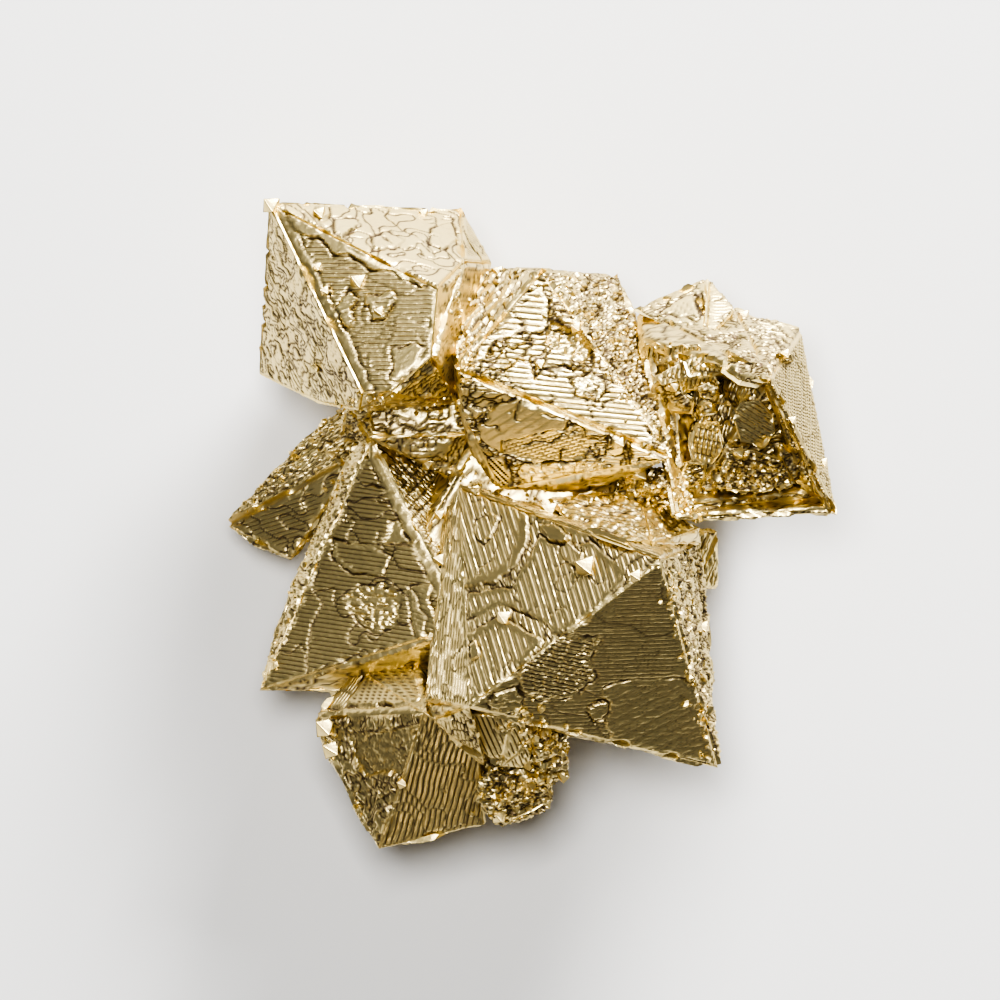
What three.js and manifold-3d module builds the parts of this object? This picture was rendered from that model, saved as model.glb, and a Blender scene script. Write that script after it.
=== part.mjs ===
// A cluster of intergrown gold crystals, lying on its back.
//
// Native gold grows as octahedra. Here nine large ones have grown into one another, with smaller
// ones behind them and dozens of tiny ones on their edges, so the whole cluster is one piece of
// metal and one solid. Growth leaves low ridges and plates on the flat faces, and a stepped
// hollow where a crystal's edges outgrew its face.
//
// Millimetres, +Z up. X runs across the cluster, Y along it, and Z is the height over the
// surface it lies on. The finest side looks up. The origin is under the middle of its box.

import * as THREE from 'three';
import { ConvexGeometry } from 'three/addons/geometries/ConvexGeometry.js';
import { mergeVertices } from 'three/addons/utils/BufferGeometryUtils.js';
import Module from 'manifold-3d';

const wasm = await Module();
wasm.setup();

// ---------------------------------------------------------------- driving dimensions

const GOLD = new THREE.Color(0.83, 0.66, 0.33);
const POLISH = 0.35;
const ROOT = 0.08;              // how deep a raised form is rooted in the face that carries it
const RIDGE_HEIGHT = 0.16;      // growth ridges that stripe the large faces
const RIDGE_SHARE = 0.6;        // share of the pitch that a ridge takes up
const RIDGE_TAPER = 0.35;       // length over which a ridge runs out at its ends
const BROKEN_SHARE = 0.5;       // share of the ridges that are broken by a gap
const FACE_MARGIN = 0.45;       // the smooth border that ridges keep from the edges of a face
const PLATE_HEIGHT = 0.2;       // growth plates that stand over a face
const PLATE_SIDES = 5;
const PLATE_INSET = 0.4;        // how far the middles of plates keep from a face's corners
const LUMP_INSET = 0.15;        // the same for lumps
const PLATE_RADIUS = [0.9, 1.9];
const PLATE_REACH = [0.6, 1];   // how far its corners reach, as a share of its radius
const PLATE_SQUASH = 0.75;      // width across the stripes to length along them
const PLATE_DRAW_IN = 0.12;     // how much smaller a plate's top is than its foot
const LUMP_SCALE = [0.7, 1.3];  // how much lumps differ in size
const SPREAD_TURN = 90;         // lumps lie turned by up to this many degrees about each axis
const SEED = 29;                // starts the scatter of lumps and plates

// Corners of the large crystals: [across, along, height].
const UPPER_LEFT = {
  tip: [-17.4, 21.3, 16.2],
  topRight: [-4.7, 20.9, 10.2],
  shoulder: [-2.7, 17.4, 9.8],
  topFront: [-4.5, 17.4, 16.3],
  front: [-6.2, 15.5, 20.5],
  frontLow: [-6.6, 11.0, 21.5],
  footRight: [-9.3, 8.6, 21.4],
  foot: [-11.2, 8.6, 20.8],
  footBack: [-11.4, 7.5, 19.5],
  lowLeft: [-14.1, 8.0, 14.8],
  leftEdge: [-16.1, 9.2, 11.6],
  left: [-18.2, 10.0, 8.2],
  sideHigh: [-4.9, 11.8, 16.8],
  sideLow: [-4.9, 8.0, 14.8],
  backLeft: [-15.4, 14.8, 4.2],
  backRight: [-7.4, 17.5, 2.8],
  backLow: [-8.7, 10.2, 3.5],
};
const UPPER_MIDDLE = {
  top: [0.7, 16.8, 15.5],
  left: [-4.9, 10.2, 18.8],
  right: [9.4, 4.3, 18.2],
  topLeft: [-5.9, 17.0, 8.8],
  topRight: [5.9, 16.5, 8.2],
  shoulder: [6.6, 14.3, 8.2],
  side: [8.1, 11.0, 10.2],
  leftLow: [-4.7, 7.4, 17.5],
  bottomLeft: [-4.1, 4.8, 15.5],
  bottom: [-2.1, 2.2, 14.8],
  bottomRight: [4.3, 2.0, 14.5],
  backLeft: [-3.4, 11.5, 4.2],
  backRight: [5.9, 8.2, 4.2],
};
const RIGHT = {
  near: [15.9, 9.6, 21.9],
  topLeft: [7.3, 12.2, 13.6],
  topRight: [18.1, 12.8, 10.4],
  bottomRight: [20.4, 0.6, 14.8],
  bottomLeft: [9.5, 0.1, 18.0],
  backTopLeft: [7.3, 14.3, 9.5],
  backTop: [13.5, 14.4, 8.8],
  far: [11.7, 3.2, 5.4],
};
const RIGHT_PEAK = {
  apex: [11.9, 16.4, 8.8],
  left: [7.0, 14.2, 11.0],
  right: [13.7, 14.2, 11.0],
  front: [11.6, 11.8, 14.2],
  back: [10.6, 12.8, 3.5],
};
const LOWER_RIGHT = {
  near: [8.5, -2.4, 25.7],
  left: [-4.9, 2.4, 15.5],
  topRight: [11.4, -1.2, 9.2],
  bottomRight: [12.5, -16.4, 15.5],
  bottomLeft: [-4.1, -12.2, 22.2],
  stripHigh: [-6.1, -0.2, 13.8],
  stripLow: [-7.1, -11.8, 17.2],
  far: [-1.1, -11.4, 5.3],
};
const LOWER_RIGHT_LAYER = {
  left: [1.0, 1.6, 15.5],
  top: [7.3, 1.9, 15.5],
  right: [11.1, -0.4, 14.5],
  rightLow: [11.3, -1.4, 12.5],
  front: [8.0, -1.4, 21.0],
  frontLeft: [3.0, -0.6, 19.0],
  back: [6.0, 0.0, 8.0],
};
const LOWER_RIGHT_BLOCK = {
  frontTop: [11.0, -0.5, 10.9],
  outerTop: [12.5, -0.6, 9.6],
  outerLow: [12.5, -4.5, 9.8],
  frontLow: [11.0, -4.4, 11.6],
  inner: [8.5, -2.5, 8.0],
  backTop: [11.0, -1.0, 6.5],
  backLow: [11.0, -4.0, 6.5],
};
const STRIP_END = {
  high: [-6.9, -11.8, 17.6],
  left: [-6.4, -13.0, 18.3],
  top: [-4.1, -12.2, 22.0],
  right: [-3.2, -15.6, 18.9],
  low: [-3.1, -16.2, 17.6],
  side: [-4.6, -14.9, 18.0],
  back: [-4.5, -13.0, 10.0],
};
const LOWER_FOOT = {
  left: [-4.1, -12.6, 20.5],
  top: [-1.3, -12.9, 20.6],
  right: [0.4, -14.2, 19.0],
  tip: [-0.2, -16.4, 16.5],
  low: [-2.0, -16.3, 17.4],
  side: [-3.4, -15.2, 18.4],
  back: [-1.0, -12.5, 10.0],
};
const LOWER_LEFT = {
  apex: [-10.7, 5.6, 12.8],
  tip: [-18.2, -11.3, 11.5],
  near: [-4.4, -6.9, 16.8],
  bottom: [-6.7, -11.2, 11.5],
  right: [-0.7, 5.5, 4.8],
  edgeHigh: [-11.9, 4.9, 10.4],
  edgeMiddle: [-15.7, -3.4, 9.6],
  edgeLow: [-17.5, -8.7, 10.0],
  backLeft: [-12.7, -2.5, 2.2],
  back: [-3.4, -5.2, 0.8],
};
const FAR_LEFT = {
  tip: [-20.4, -0.3, 5.5],
  near: [-11.3, 4.7, 9.9],
  top: [-12.0, 8.2, 7.0],
  upperEdge: [-17.7, 3.0, 5.8],
  upperMiddle: [-15.2, 5.8, 6.2],
  bottom: [-16.1, -2.6, 7.4],
  bottomLeft: [-18.7, -1.6, 5.6],
  back: [-13.4, 1.5, 1.5],
};
const SADDLE = {
  backLeft: [-11.3, 8.8, 12.6],
  backRight: [-4.6, 8.4, 12.0],
  frontLeft: [-10.8, 5.7, 14.2],
  frontRight: [-4.2, 5.9, 13.6],
  low: [-5.0, 2.7, 13.0],
  back: [-7.4, 6.2, 3.5],
};
const NECK = {
  topLeft: [-12.3, 8.0, 17.6],
  topRight: [-10.9, 8.0, 18.8],
  lowLeft: [-12.7, 5.6, 11.4],
  lowRight: [-10.5, 5.3, 13.6],
  back: [-11.5, 7.0, 7.5],
};
const BOTTOM = {
  left: [-14.4, -13.0, 13.5],
  near: [-7.1, -12.6, 18.2],
  tip: [-10.2, -21.9, 12.8],
  right: [-3.1, -20.2, 14.2],
  rightHigh: [-3.4, -14.8, 17.5],
  topLeft: [-11.6, -9.7, 12.2],
  top: [-7.9, -8.6, 12.8],
  side: [-13.4, -16.0, 11.5],
  back: [-8.7, -15.2, 4.2],
};
const CRUST_HIGH = {
  top: [-0.1, -13.3, 19.3],
  right: [2.3, -14.8, 18.0],
  low: [2.1, -16.6, 16.6],
  left: [0.3, -16.2, 17.8],
  back: [0.6, -13.0, 10.0],
};
const CRUST_LOW = {
  top: [-2.7, -16.4, 16.8],
  topRight: [1.1, -17.0, 15.5],
  right: [1.5, -18.5, 14.8],
  low: [0.6, -19.5, 14.2],
  bottom: [-2.1, -20.3, 14.8],
  left: [-3.6, -18.5, 16.4],
  back: [-2.0, -15.5, 9.0],
};
const GAP_FILLER = {
  left: [6.5, 4.0, 15.0],
  right: [11.0, 3.0, 16.0],
  lowRight: [12.2, 0.2, 14.5],
  lowLeft: [5.0, 1.2, 15.5],
  near: [8.6, 2.4, 17.6],
  back: [8.5, 1.5, 6.0],
};

// Octahedra on the back and sides: centre, half the diagonal, and turns about X, Y and Z.
const BASE_HALF = 12.4;
const BASE_CENTRE = [-0.6, 0.6];
const FACE_TILT = Math.acos(1 / Math.sqrt(3));  // between an octahedron's face and its axis
const BACK_CRYSTALS = [
  { centre: [-10.6, 13.8, 8.2], half: 7.0, turn: [20, 35, 10] },
  { centre: [12.6, 7.2, 7.4], half: 6.8, turn: [-25, 30, 40] },
  { centre: [5.0, -9.0, 8.6], half: 7.4, turn: [35, -20, 15] },
  { centre: [-10.2, -8.4, 7.0], half: 6.6, turn: [15, 40, -20] },
  { centre: [-14.2, 2.0, 4.4], half: 3.9, turn: [40, 10, 25] },
  { centre: [1.2, 11.2, 7.0], half: 6.0, turn: [-30, -25, 50] },
  { centre: [-7.0, -16.0, 8.6], half: 5.2, turn: [25, -35, 60] },
];

// Faces striped by growth ridges: the crystal, the corners of its face, the way the ridges run
// seen from above, and their pitch.
const RIDGED_FACES = [
  [UPPER_LEFT, ['tip', 'foot', 'footRight', 'frontLow', 'front'], [1, 0], 0.7],
  [UPPER_LEFT, ['topRight', 'topFront', 'shoulder'], [1, 0], 0.6],
  [UPPER_MIDDLE, ['top', 'left', 'right'], [1, 0], 0.75],
  [UPPER_MIDDLE, ['top', 'topLeft', 'left'], [0.62, 0.78], 0.9],
  [RIGHT, ['near', 'bottomRight', 'topRight'], [0.5, -1], 0.8],
  [LOWER_RIGHT, ['near', 'left', 'bottomLeft'], [0.29, -0.96], 0.85],
  [LOWER_RIGHT, ['near', 'bottomLeft', 'bottomRight'], [1, 0.03], 0.75],
  [LOWER_LEFT, ['apex', 'tip', 'near'], [1, -0.14], 0.8],
  [FAR_LEFT, ['tip', 'bottom', 'near'], [1, 0.3], 0.7],
  [BOTTOM, ['left', 'near', 'topLeft'], [0.6, 0.8], 0.7],
  [BOTTOM, ['near', 'tip', 'right'], [0.25, 1], 0.8],
  [LOWER_FOOT, ['left', 'right', 'low'], [0.4, -0.9], 0.6],
];

// Faces that carry flat growth plates, and how many.
const PLATED_FACES = [
  [UPPER_LEFT, ['tip', 'front', 'topRight'], 5],
  [UPPER_LEFT, ['tip', 'foot', 'front'], 3],
  [UPPER_LEFT, ['tip', 'left', 'foot'], 6],
  [UPPER_MIDDLE, ['top', 'left', 'right'], 6],
  [UPPER_MIDDLE, ['left', 'bottom', 'right'], 4],
  [RIGHT, ['near', 'bottomLeft', 'bottomRight'], 3],
  [RIGHT_PEAK, ['apex', 'left', 'front'], 2],
  [LOWER_RIGHT, ['near', 'left', 'bottomLeft'], 5],
  [LOWER_RIGHT, ['near', 'bottomLeft', 'bottomRight'], 4],
  [LOWER_LEFT, ['apex', 'tip', 'near'], 4],
  [BOTTOM, ['left', 'near', 'tip'], 4],
];

// Faces crusted with small lumps: how many, and the size of one.
const CRUSTED_FACES = [
  [UPPER_MIDDLE, ['top', 'right', 'shoulder'], 18, 0.5],
  [LOWER_RIGHT, ['near', 'bottomRight', 'topRight'], 18, 0.5],
  [LOWER_LEFT, ['apex', 'near', 'right'], 12, 0.45],
  [LOWER_LEFT, ['edgeHigh', 'edgeMiddle', 'tip'], 9, 0.4],
  [FAR_LEFT, ['tip', 'near', 'upperMiddle'], 9, 0.45],
  [CRUST_HIGH, ['top', 'right', 'left'], 5, 0.6],
  [CRUST_LOW, ['top', 'right', 'bottom'], 8, 0.7],
  [RIGHT, ['bottomLeft', 'bottomRight', 'near'], 9, 0.45],
  [GAP_FILLER, ['left', 'near', 'lowLeft'], 6, 0.6],
  [GAP_FILLER, ['near', 'right', 'lowRight'], 5, 0.5],
];

// Small octahedra that stand on the upper side: [across, along, half the diagonal, turn].
const SMALL_CRYSTALS = [
  [-17.3, 21.2, 0.78, 10], [-14.1, 20.6, 0.6, 40], [-7.2, 20.7, 0.45, 20], [-2.2, 16.8, 0.5, 30],
  [-11.5, 16.0, 0.75, 15], [-10.1, 14.0, 0.5, 50], [-13.7, 15.4, 0.45, 70], [-14.2, 17.0, 0.4, 25],
  [-14.4, 10.3, 0.5, 35], [3.6, -2.9, 1.0, 45], [1.2, 0.8, 0.8, 20], [6.9, -3.5, 0.6, 60],
  [-1.8, -6.3, 0.7, 10], [7.3, 3.1, 0.7, 80], [14.3, 13.9, 0.5, 30], [16.9, 11.2, 0.5, 55],
  [17.3, 6.8, 0.4, 15], [19.5, 4.0, 0.45, 40], [13.8, 4.6, 0.6, 65], [-6.1, 0.5, 0.5, 20],
  [-6.1, -2.5, 0.6, 50], [-13.4, 4.5, 0.6, 35], [-13.7, -13.7, 0.95, 30], [-13.3, -15.1, 0.9, 60],
  [-2.1, -19.6, 0.7, 25], [11.5, -7.0, 0.6, 45], [9.6, 9.0, 0.5, 15], [5.9, 5.3, 0.5, 70],
  [0.6, 10.5, 0.45, 20], [3.0, 13.0, 0.5, 50], [-8.6, -17.4, 0.5, 80], [-6.9, 3.8, 0.5, 10],
];

// Small octahedra round the back and sides: the point aimed at from outside, and half a diagonal.
const HIDDEN_SMALL_CRYSTALS = [
  [[-16, 14, 4], 0.8], [[-8, 16, 2], 1.0], [[2, 15, 3], 0.9], [[9, 12, 3], 0.8],
  [[17, 8, 4], 0.9], [[14, 0, 5], 0.8], [[10, -8, 3], 1.0], [[4, -15, 5], 0.8],
  [[-4, -17, 4], 0.9], [[-13, -10, 3], 0.9], [[-17, 2, 1], 0.7], [[-9, 4, 0], 0.9],
  [[8, 5, 1], 0.9], [[-12, -16, 6], 0.7], [[5, 9, 1], 0.7], [[-6, 11, 1], 0.8],
];

// Blocks and lumps in the right-hand crystal's hollow: centre, size and turns.
const HOLLOW_BLOCKS = [
  { centre: [9.2, 10.9, 15.1], size: [2.7, 1.1, 1.2], turn: [10, -25, 22] },
  { centre: [9.5, 10.1, 15.0], size: [2.4, 1.0, 1.0], turn: [10, -25, 22] },
  { centre: [11.4, 10.2, 16.6], size: [1.7, 1.2, 1.3], turn: [12, -20, 18] },
  { centre: [9.6, 8.5, 14.9], size: [2.9, 1.8, 1.0], turn: [-8, -30, -28] },
  { centre: [11.7, 8.6, 15.6], size: [1.0, 1.0, 1.6], turn: [15, -20, 40] },
  { centre: [11.5, 7.7, 15.5], size: [0.7, 0.7, 1.0], turn: [5, 15, 20] },
  { centre: [10.4, 4.6, 16.2], size: [2.0, 3.4, 1.6], turn: [0, -35, -12] },
  { centre: [14.6, 6.5, 18.6], size: [2.2, 3.3, 2.4], turn: [-20, 10, -15] },
  { centre: [15.0, 10.2, 21.0], size: [1.8, 1.5, 1.4], turn: [10, 20, 25] },
  { centre: [12.6, 10.9, 17.9], size: [2.6, 1.0, 1.6], turn: [10, -25, 4] },
];

// The stepped hollow: how far each step is drawn in from the face's corners, and its depth.
const HOLLOW_STEPS = [[0.10, 0.7], [0.22, 1.5], [0.36, 2.4], [0.52, 3.4]];
const HOLLOW_LEAN = 0.06;       // how far a step's wall leans in on its way down

// A slot in the peak behind it.
const SLOT = { centre: [11.6, 15.0, 10.9], size: [0.35, 1.3, 1.6], turn: [10, 0, 14] };

// ---------------------------------------------------------------- making solids

const vector = ([x, y, z]) => new THREE.Vector3(x, y, z);

function solidFrom(geometry) {
  geometry.deleteAttribute('normal');
  geometry.deleteAttribute('uv');
  const merged = mergeVertices(geometry, 1e-5);
  return new wasm.Manifold(new wasm.Mesh({
    numProp: 3,
    vertProperties: new Float32Array(merged.attributes.position.array),
    triVerts: new Uint32Array(merged.index.array),
  }));
}

function geometryFrom(solid) {
  const mesh = solid.getMesh();
  const geometry = new THREE.BufferGeometry();
  geometry.setAttribute('position', new THREE.BufferAttribute(mesh.vertProperties, mesh.numProp));
  geometry.setIndex(new THREE.BufferAttribute(mesh.triVerts, 1));
  geometry.computeVertexNormals();
  return geometry;
}

const hull = (points) => solidFrom(new ConvexGeometry(points));

// A crystal with flat faces, wrapped round its corners.
const crystal = (corners) => hull(Object.values(corners).map(vector));

function place(geometry, centre, turn) {
  const [x, y, z] = turn.map(THREE.MathUtils.degToRad);
  geometry.applyMatrix4(new THREE.Matrix4().makeRotationFromEuler(new THREE.Euler(x, y, z)));
  geometry.translate(...centre);
  return solidFrom(geometry);
}

const octahedron = ({ centre, half, turn }) => (
  place(new THREE.OctahedronGeometry(half), centre, turn));

const block = ({ centre, size, turn }) => place(new THREE.BoxGeometry(...size), centre, turn);

// The octahedron that the cluster lies on, with one face flat on the surface below.
function baseCrystal() {
  const geometry = new THREE.OctahedronGeometry(BASE_HALF);
  geometry.rotateZ(Math.PI / 4);
  geometry.rotateX(FACE_TILT);
  geometry.rotateZ(Math.PI);
  geometry.computeBoundingBox();
  geometry.translate(...BASE_CENTRE, -geometry.boundingBox.min.z);
  return solidFrom(geometry);
}

// ---------------------------------------------------------------- faces and what grows on them

let randomState = SEED;
function random(low = 0, high = 1) {
  randomState = (randomState * 1664525 + 1013904223) % 4294967296;
  return low + (high - low) * randomState / 4294967296;
}

// A face's flat frame: its corners, the way out, and two directions that lie in it.
function faceOf(corners, names, [alongX, alongY] = [1, 0]) {
  const points = names.map((name) => vector(corners[name]));
  const all = Object.values(corners).map(vector);
  const middle = all.reduce((sum, p) => sum.add(p), new THREE.Vector3()).divideScalar(all.length);
  const plane = new THREE.Plane().setFromCoplanarPoints(points[0], points[1], points[2]);
  if (plane.distanceToPoint(middle) > 0) plane.negate();
  const { normal } = plane;
  const rise = -(normal.x * alongX + normal.y * alongY) / normal.z;
  const along = new THREE.Vector3(alongX, alongY, rise).normalize();
  const across = normal.clone().cross(along);
  const height = normal.dot(points[0]);
  const at = (s, t, h) => along.clone().multiplyScalar(s)
    .addScaledVector(across, t).addScaledVector(normal, height + h);
  return { points, normal, along, across, at };
}

// The stretch of the line t = offset that lies inside a face's outline.
function stretchInside({ points, along, across }, offset) {
  const crossings = [];
  points.forEach((p, i) => {
    const q = points[(i + 1) % points.length];
    const before = p.dot(across) - offset;
    const after = q.dot(across) - offset;
    if (before * after >= 0) return;
    const share = before / (before - after);
    crossings.push(p.dot(along) * (1 - share) + q.dot(along) * share);
  });
  return [Math.min(...crossings) + FACE_MARGIN, Math.max(...crossings) - FACE_MARGIN];
}

function ridge(face, start, end, offset, width) {
  const foot = width * (RIDGE_HEIGHT + ROOT) / RIDGE_HEIGHT / 2;
  return hull([
    face.at(start, offset - foot, -ROOT), face.at(start, offset + foot, -ROOT),
    face.at(end, offset - foot, -ROOT), face.at(end, offset + foot, -ROOT),
    face.at(start + RIDGE_TAPER, offset, RIDGE_HEIGHT),
    face.at(end - RIDGE_TAPER, offset, RIDGE_HEIGHT),
  ]);
}

// Ridges side by side across a face, some of them broken by a gap.
function ridgesOn(face, pitch) {
  const offsets = face.points.map((p) => p.dot(face.across));
  const last = Math.max(...offsets) - FACE_MARGIN;
  const ridges = [];
  for (let t = Math.min(...offsets) + FACE_MARGIN + pitch / 2; t < last; t += pitch) {
    const [start, end] = stretchInside(face, t);
    const shortest = 3 * RIDGE_TAPER;
    if (end - start < shortest) continue;
    const gap = random(start, end);
    const breaks = gap - start > shortest && end - gap > 2 * shortest && random() < BROKEN_SHARE;
    if (breaks) ridges.push(ridge(face, start, gap, t, pitch * RIDGE_SHARE));
    ridges.push(ridge(face, breaks ? gap + RIDGE_TAPER : start, end, t, pitch * RIDGE_SHARE));
  }
  return ridges;
}

// A point anywhere on a face's first three corners, drawn in from its edges.
function pointOn({ points }, inset) {
  const shares = [random(), random(), random()].map((value) => -Math.log(value));
  const total = shares[0] + shares[1] + shares[2];
  const point = new THREE.Vector3();
  shares.forEach((share, i) => {
    point.addScaledVector(points[i], share / total * (1 - inset) + inset / 3);
  });
  return point;
}

// A low plate with straight sides, grown over a face.
function plateOn(face) {
  const middle = pointOn(face, PLATE_INSET);
  const s = middle.dot(face.along);
  const t = middle.dot(face.across);
  const radius = random(...PLATE_RADIUS);
  const turn = random(0, Math.PI);
  const corners = [];
  for (let i = 0; i < PLATE_SIDES; i += 1) {
    const angle = turn + i * 2 * Math.PI / PLATE_SIDES;
    const reach = radius * random(...PLATE_REACH);
    corners.push([reach * Math.cos(angle), PLATE_SQUASH * reach * Math.sin(angle)]);
  }
  const outline = (scale, height) => (
    corners.map(([x, y]) => face.at(s + scale * x, t + scale * y, height)));
  return hull([...outline(1, -ROOT), ...outline(1 - PLATE_DRAW_IN, PLATE_HEIGHT)]);
}

const anyTurn = () => [0, 0, 0].map(() => random(0, SPREAD_TURN));

const lumpOn = (face, size) => octahedron({
  centre: pointOn(face, LUMP_INSET).toArray(),
  half: size * random(...LUMP_SCALE),
  turn: anyTurn(),
});

// Where a straight line from a point, in a direction, first meets a mesh.
function firstHit(target, from, direction) {
  const [hit] = new THREE.Raycaster(from, direction).intersectObject(target);
  return hit.point;
}

// ---------------------------------------------------------------- the large crystals

const CLEAR = 60;               // a distance outside the cluster
const SEATING = 0.35;           // share of half its diagonal that a small crystal is let in
const SMALL_LEAN = [20, 15];    // turns of the small crystals about X and Y
const HEART = new THREE.Vector3(0, 0, 12);  // the middle that the hidden ones are aimed at

// The right-hand crystal, whose front face is a stepped hollow.
function hollowCrystal() {
  const face = faceOf(RIGHT, ['topLeft', 'near', 'bottomLeft']);
  const middle = face.points.reduce((sum, p) => sum.add(p), new THREE.Vector3()).divideScalar(3);
  let solid = crystal(RIGHT);
  for (const [inset, depth] of HOLLOW_STEPS) {
    const rim = face.points.map((p) => p.clone().lerp(middle, inset));
    const wall = rim.map((p) => p.clone().lerp(middle, HOLLOW_LEAN));
    solid = solid.subtract(hull([
      ...rim.map((p) => p.clone().addScaledVector(face.normal, 1)),
      ...wall.map((p) => p.clone().addScaledVector(face.normal, -depth)),
    ]));
  }
  for (const shape of HOLLOW_BLOCKS) solid = solid.add(block(shape));
  return solid;
}

let cluster = crystal(UPPER_LEFT);
const join = (solid) => {
  cluster = cluster.add(solid);
};
join(hollowCrystal());
join(crystal(RIGHT_PEAK).subtract(block(SLOT)));
[UPPER_MIDDLE, LOWER_RIGHT, LOWER_RIGHT_LAYER, LOWER_RIGHT_BLOCK, LOWER_FOOT, STRIP_END, LOWER_LEFT,
  FAR_LEFT, SADDLE, NECK, BOTTOM, CRUST_HIGH, CRUST_LOW, GAP_FILLER].map(crystal).forEach(join);
BACK_CRYSTALS.map(octahedron).forEach(join);
join(baseCrystal());

// ---------------------------------------------------------------- what grows on them

for (const [corners, names, along, pitch] of RIDGED_FACES) {
  ridgesOn(faceOf(corners, names, along), pitch).forEach(join);
}
for (const [corners, names, count] of PLATED_FACES) {
  const face = faceOf(corners, names);
  for (let i = 0; i < count; i += 1) join(plateOn(face));
}
for (const [corners, names, count, size] of CRUSTED_FACES) {
  const face = faceOf(corners, names);
  for (let i = 0; i < count; i += 1) join(lumpOn(face, size));
}

const down = new THREE.Vector3(0, 0, -1);
const bare = new THREE.Mesh(geometryFrom(cluster));
for (const [x, y, half, turn] of SMALL_CRYSTALS) {
  const foot = firstHit(bare, new THREE.Vector3(x, y, CLEAR), down);
  const centre = foot.addScaledVector(down, -SEATING * half).toArray();
  join(octahedron({ centre, half, turn: [...SMALL_LEAN, turn] }));
}
for (const [aim, half] of HIDDEN_SMALL_CRYSTALS) {
  const inward = HEART.clone().sub(vector(aim)).normalize();
  const from = vector(aim).addScaledVector(inward, -CLEAR);
  const centre = firstHit(bare, from, inward);
  centre.z = Math.max(centre.z, half);  // nothing reaches under the base crystal's face
  join(octahedron({ centre: centre.toArray(), half, turn: anyTurn() }));
}

// ---------------------------------------------------------------- the part

const group = new THREE.Group();
const material = new THREE.MeshStandardMaterial({ color: GOLD, metalness: 1, roughness: POLISH });
const mesh = new THREE.Mesh(geometryFrom(cluster), material);
mesh.name = 'gold_crystal';
group.add(mesh);

export default group;
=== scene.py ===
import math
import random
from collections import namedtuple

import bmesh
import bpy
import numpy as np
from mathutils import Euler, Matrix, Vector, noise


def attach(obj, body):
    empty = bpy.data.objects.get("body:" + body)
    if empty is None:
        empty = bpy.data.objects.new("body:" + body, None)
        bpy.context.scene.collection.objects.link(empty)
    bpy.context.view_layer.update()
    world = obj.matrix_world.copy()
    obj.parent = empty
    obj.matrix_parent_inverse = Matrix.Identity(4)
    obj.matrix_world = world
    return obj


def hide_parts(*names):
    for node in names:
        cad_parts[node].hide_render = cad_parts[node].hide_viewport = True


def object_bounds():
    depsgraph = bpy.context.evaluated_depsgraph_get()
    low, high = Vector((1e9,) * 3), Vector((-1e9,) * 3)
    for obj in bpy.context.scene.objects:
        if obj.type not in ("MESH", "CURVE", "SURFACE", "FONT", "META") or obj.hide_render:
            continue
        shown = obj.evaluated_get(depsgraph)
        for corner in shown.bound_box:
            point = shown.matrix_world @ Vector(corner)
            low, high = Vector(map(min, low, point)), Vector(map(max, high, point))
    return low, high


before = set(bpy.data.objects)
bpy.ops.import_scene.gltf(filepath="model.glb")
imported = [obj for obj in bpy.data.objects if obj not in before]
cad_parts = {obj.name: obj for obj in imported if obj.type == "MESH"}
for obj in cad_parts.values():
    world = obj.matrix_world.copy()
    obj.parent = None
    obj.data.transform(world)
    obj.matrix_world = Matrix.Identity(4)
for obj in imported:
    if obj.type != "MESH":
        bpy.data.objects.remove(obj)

# %% [markdown]
# # A cluster of gold crystals
#
# Native gold grows as octahedra. In this cluster eight large ones have grown into one another, with
# smaller ones behind them and dozens of tiny ones on their edges. Their flat faces are finely
# striped by growth, stepped where one layer stopped on another, and scored by wandering grooves.
#
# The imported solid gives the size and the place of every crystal. This lesson grows each crystal
# again round the same corners and lays the fine relief on its faces. The relief is real geometry,
# because bare metal has almost no colour of its own to show: its look is all in how its small
# slopes catch the light.

MM = 0.001                      # the shapes are worked out in millimetres, and kept in metres
SOLID_BOX = [list(corner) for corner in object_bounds()]
print("packed solid:", [round(v / MM, 2) for corner in SOLID_BOX for v in corner], "mm")

# %% [markdown]
# ## The corners of the large crystals
#
# A crystal has flat faces, so its corners say all of its main shape. These are the corners of
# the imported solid, in millimetres: across, along and the height over the surface that the
# cluster lies on. The layers, saddle and lumps between the crystals are given in the same way.

# %% Corners of the large crystals
UPPER_LEFT = dict(
    tip=(-17.4, 21.3, 16.2), top_right=(-4.7, 20.9, 10.2), shoulder=(-2.7, 17.4, 9.8),
    top_front=(-4.5, 17.4, 16.3), front=(-6.2, 15.5, 20.5), front_low=(-6.6, 11.0, 21.5),
    foot_right=(-9.3, 8.6, 21.4), foot=(-11.2, 8.6, 20.8), foot_back=(-11.4, 7.5, 19.5),
    low_left=(-14.1, 8.0, 14.8), left_edge=(-16.1, 9.2, 11.6), left=(-18.2, 10.0, 8.2),
    side_high=(-4.9, 11.8, 16.8), side_low=(-4.9, 8.0, 14.8), back_left=(-15.4, 14.8, 4.2),
    back_right=(-7.4, 17.5, 2.8), back_low=(-8.7, 10.2, 3.5),
)
UPPER_MIDDLE = dict(
    top=(0.7, 16.8, 15.5), left=(-4.9, 10.2, 18.8), right=(9.4, 4.3, 18.2),
    top_left=(-5.9, 17.0, 8.8), top_right=(5.9, 16.5, 8.2), shoulder=(6.6, 14.3, 8.2),
    side=(8.1, 11.0, 10.2), left_low=(-4.7, 7.4, 17.5), bottom_left=(-4.1, 4.8, 15.5),
    bottom=(-2.1, 2.2, 14.8), bottom_right=(4.3, 2.0, 14.5), back_left=(-3.4, 11.5, 4.2),
    back_right=(5.9, 8.2, 4.2),
)
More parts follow.
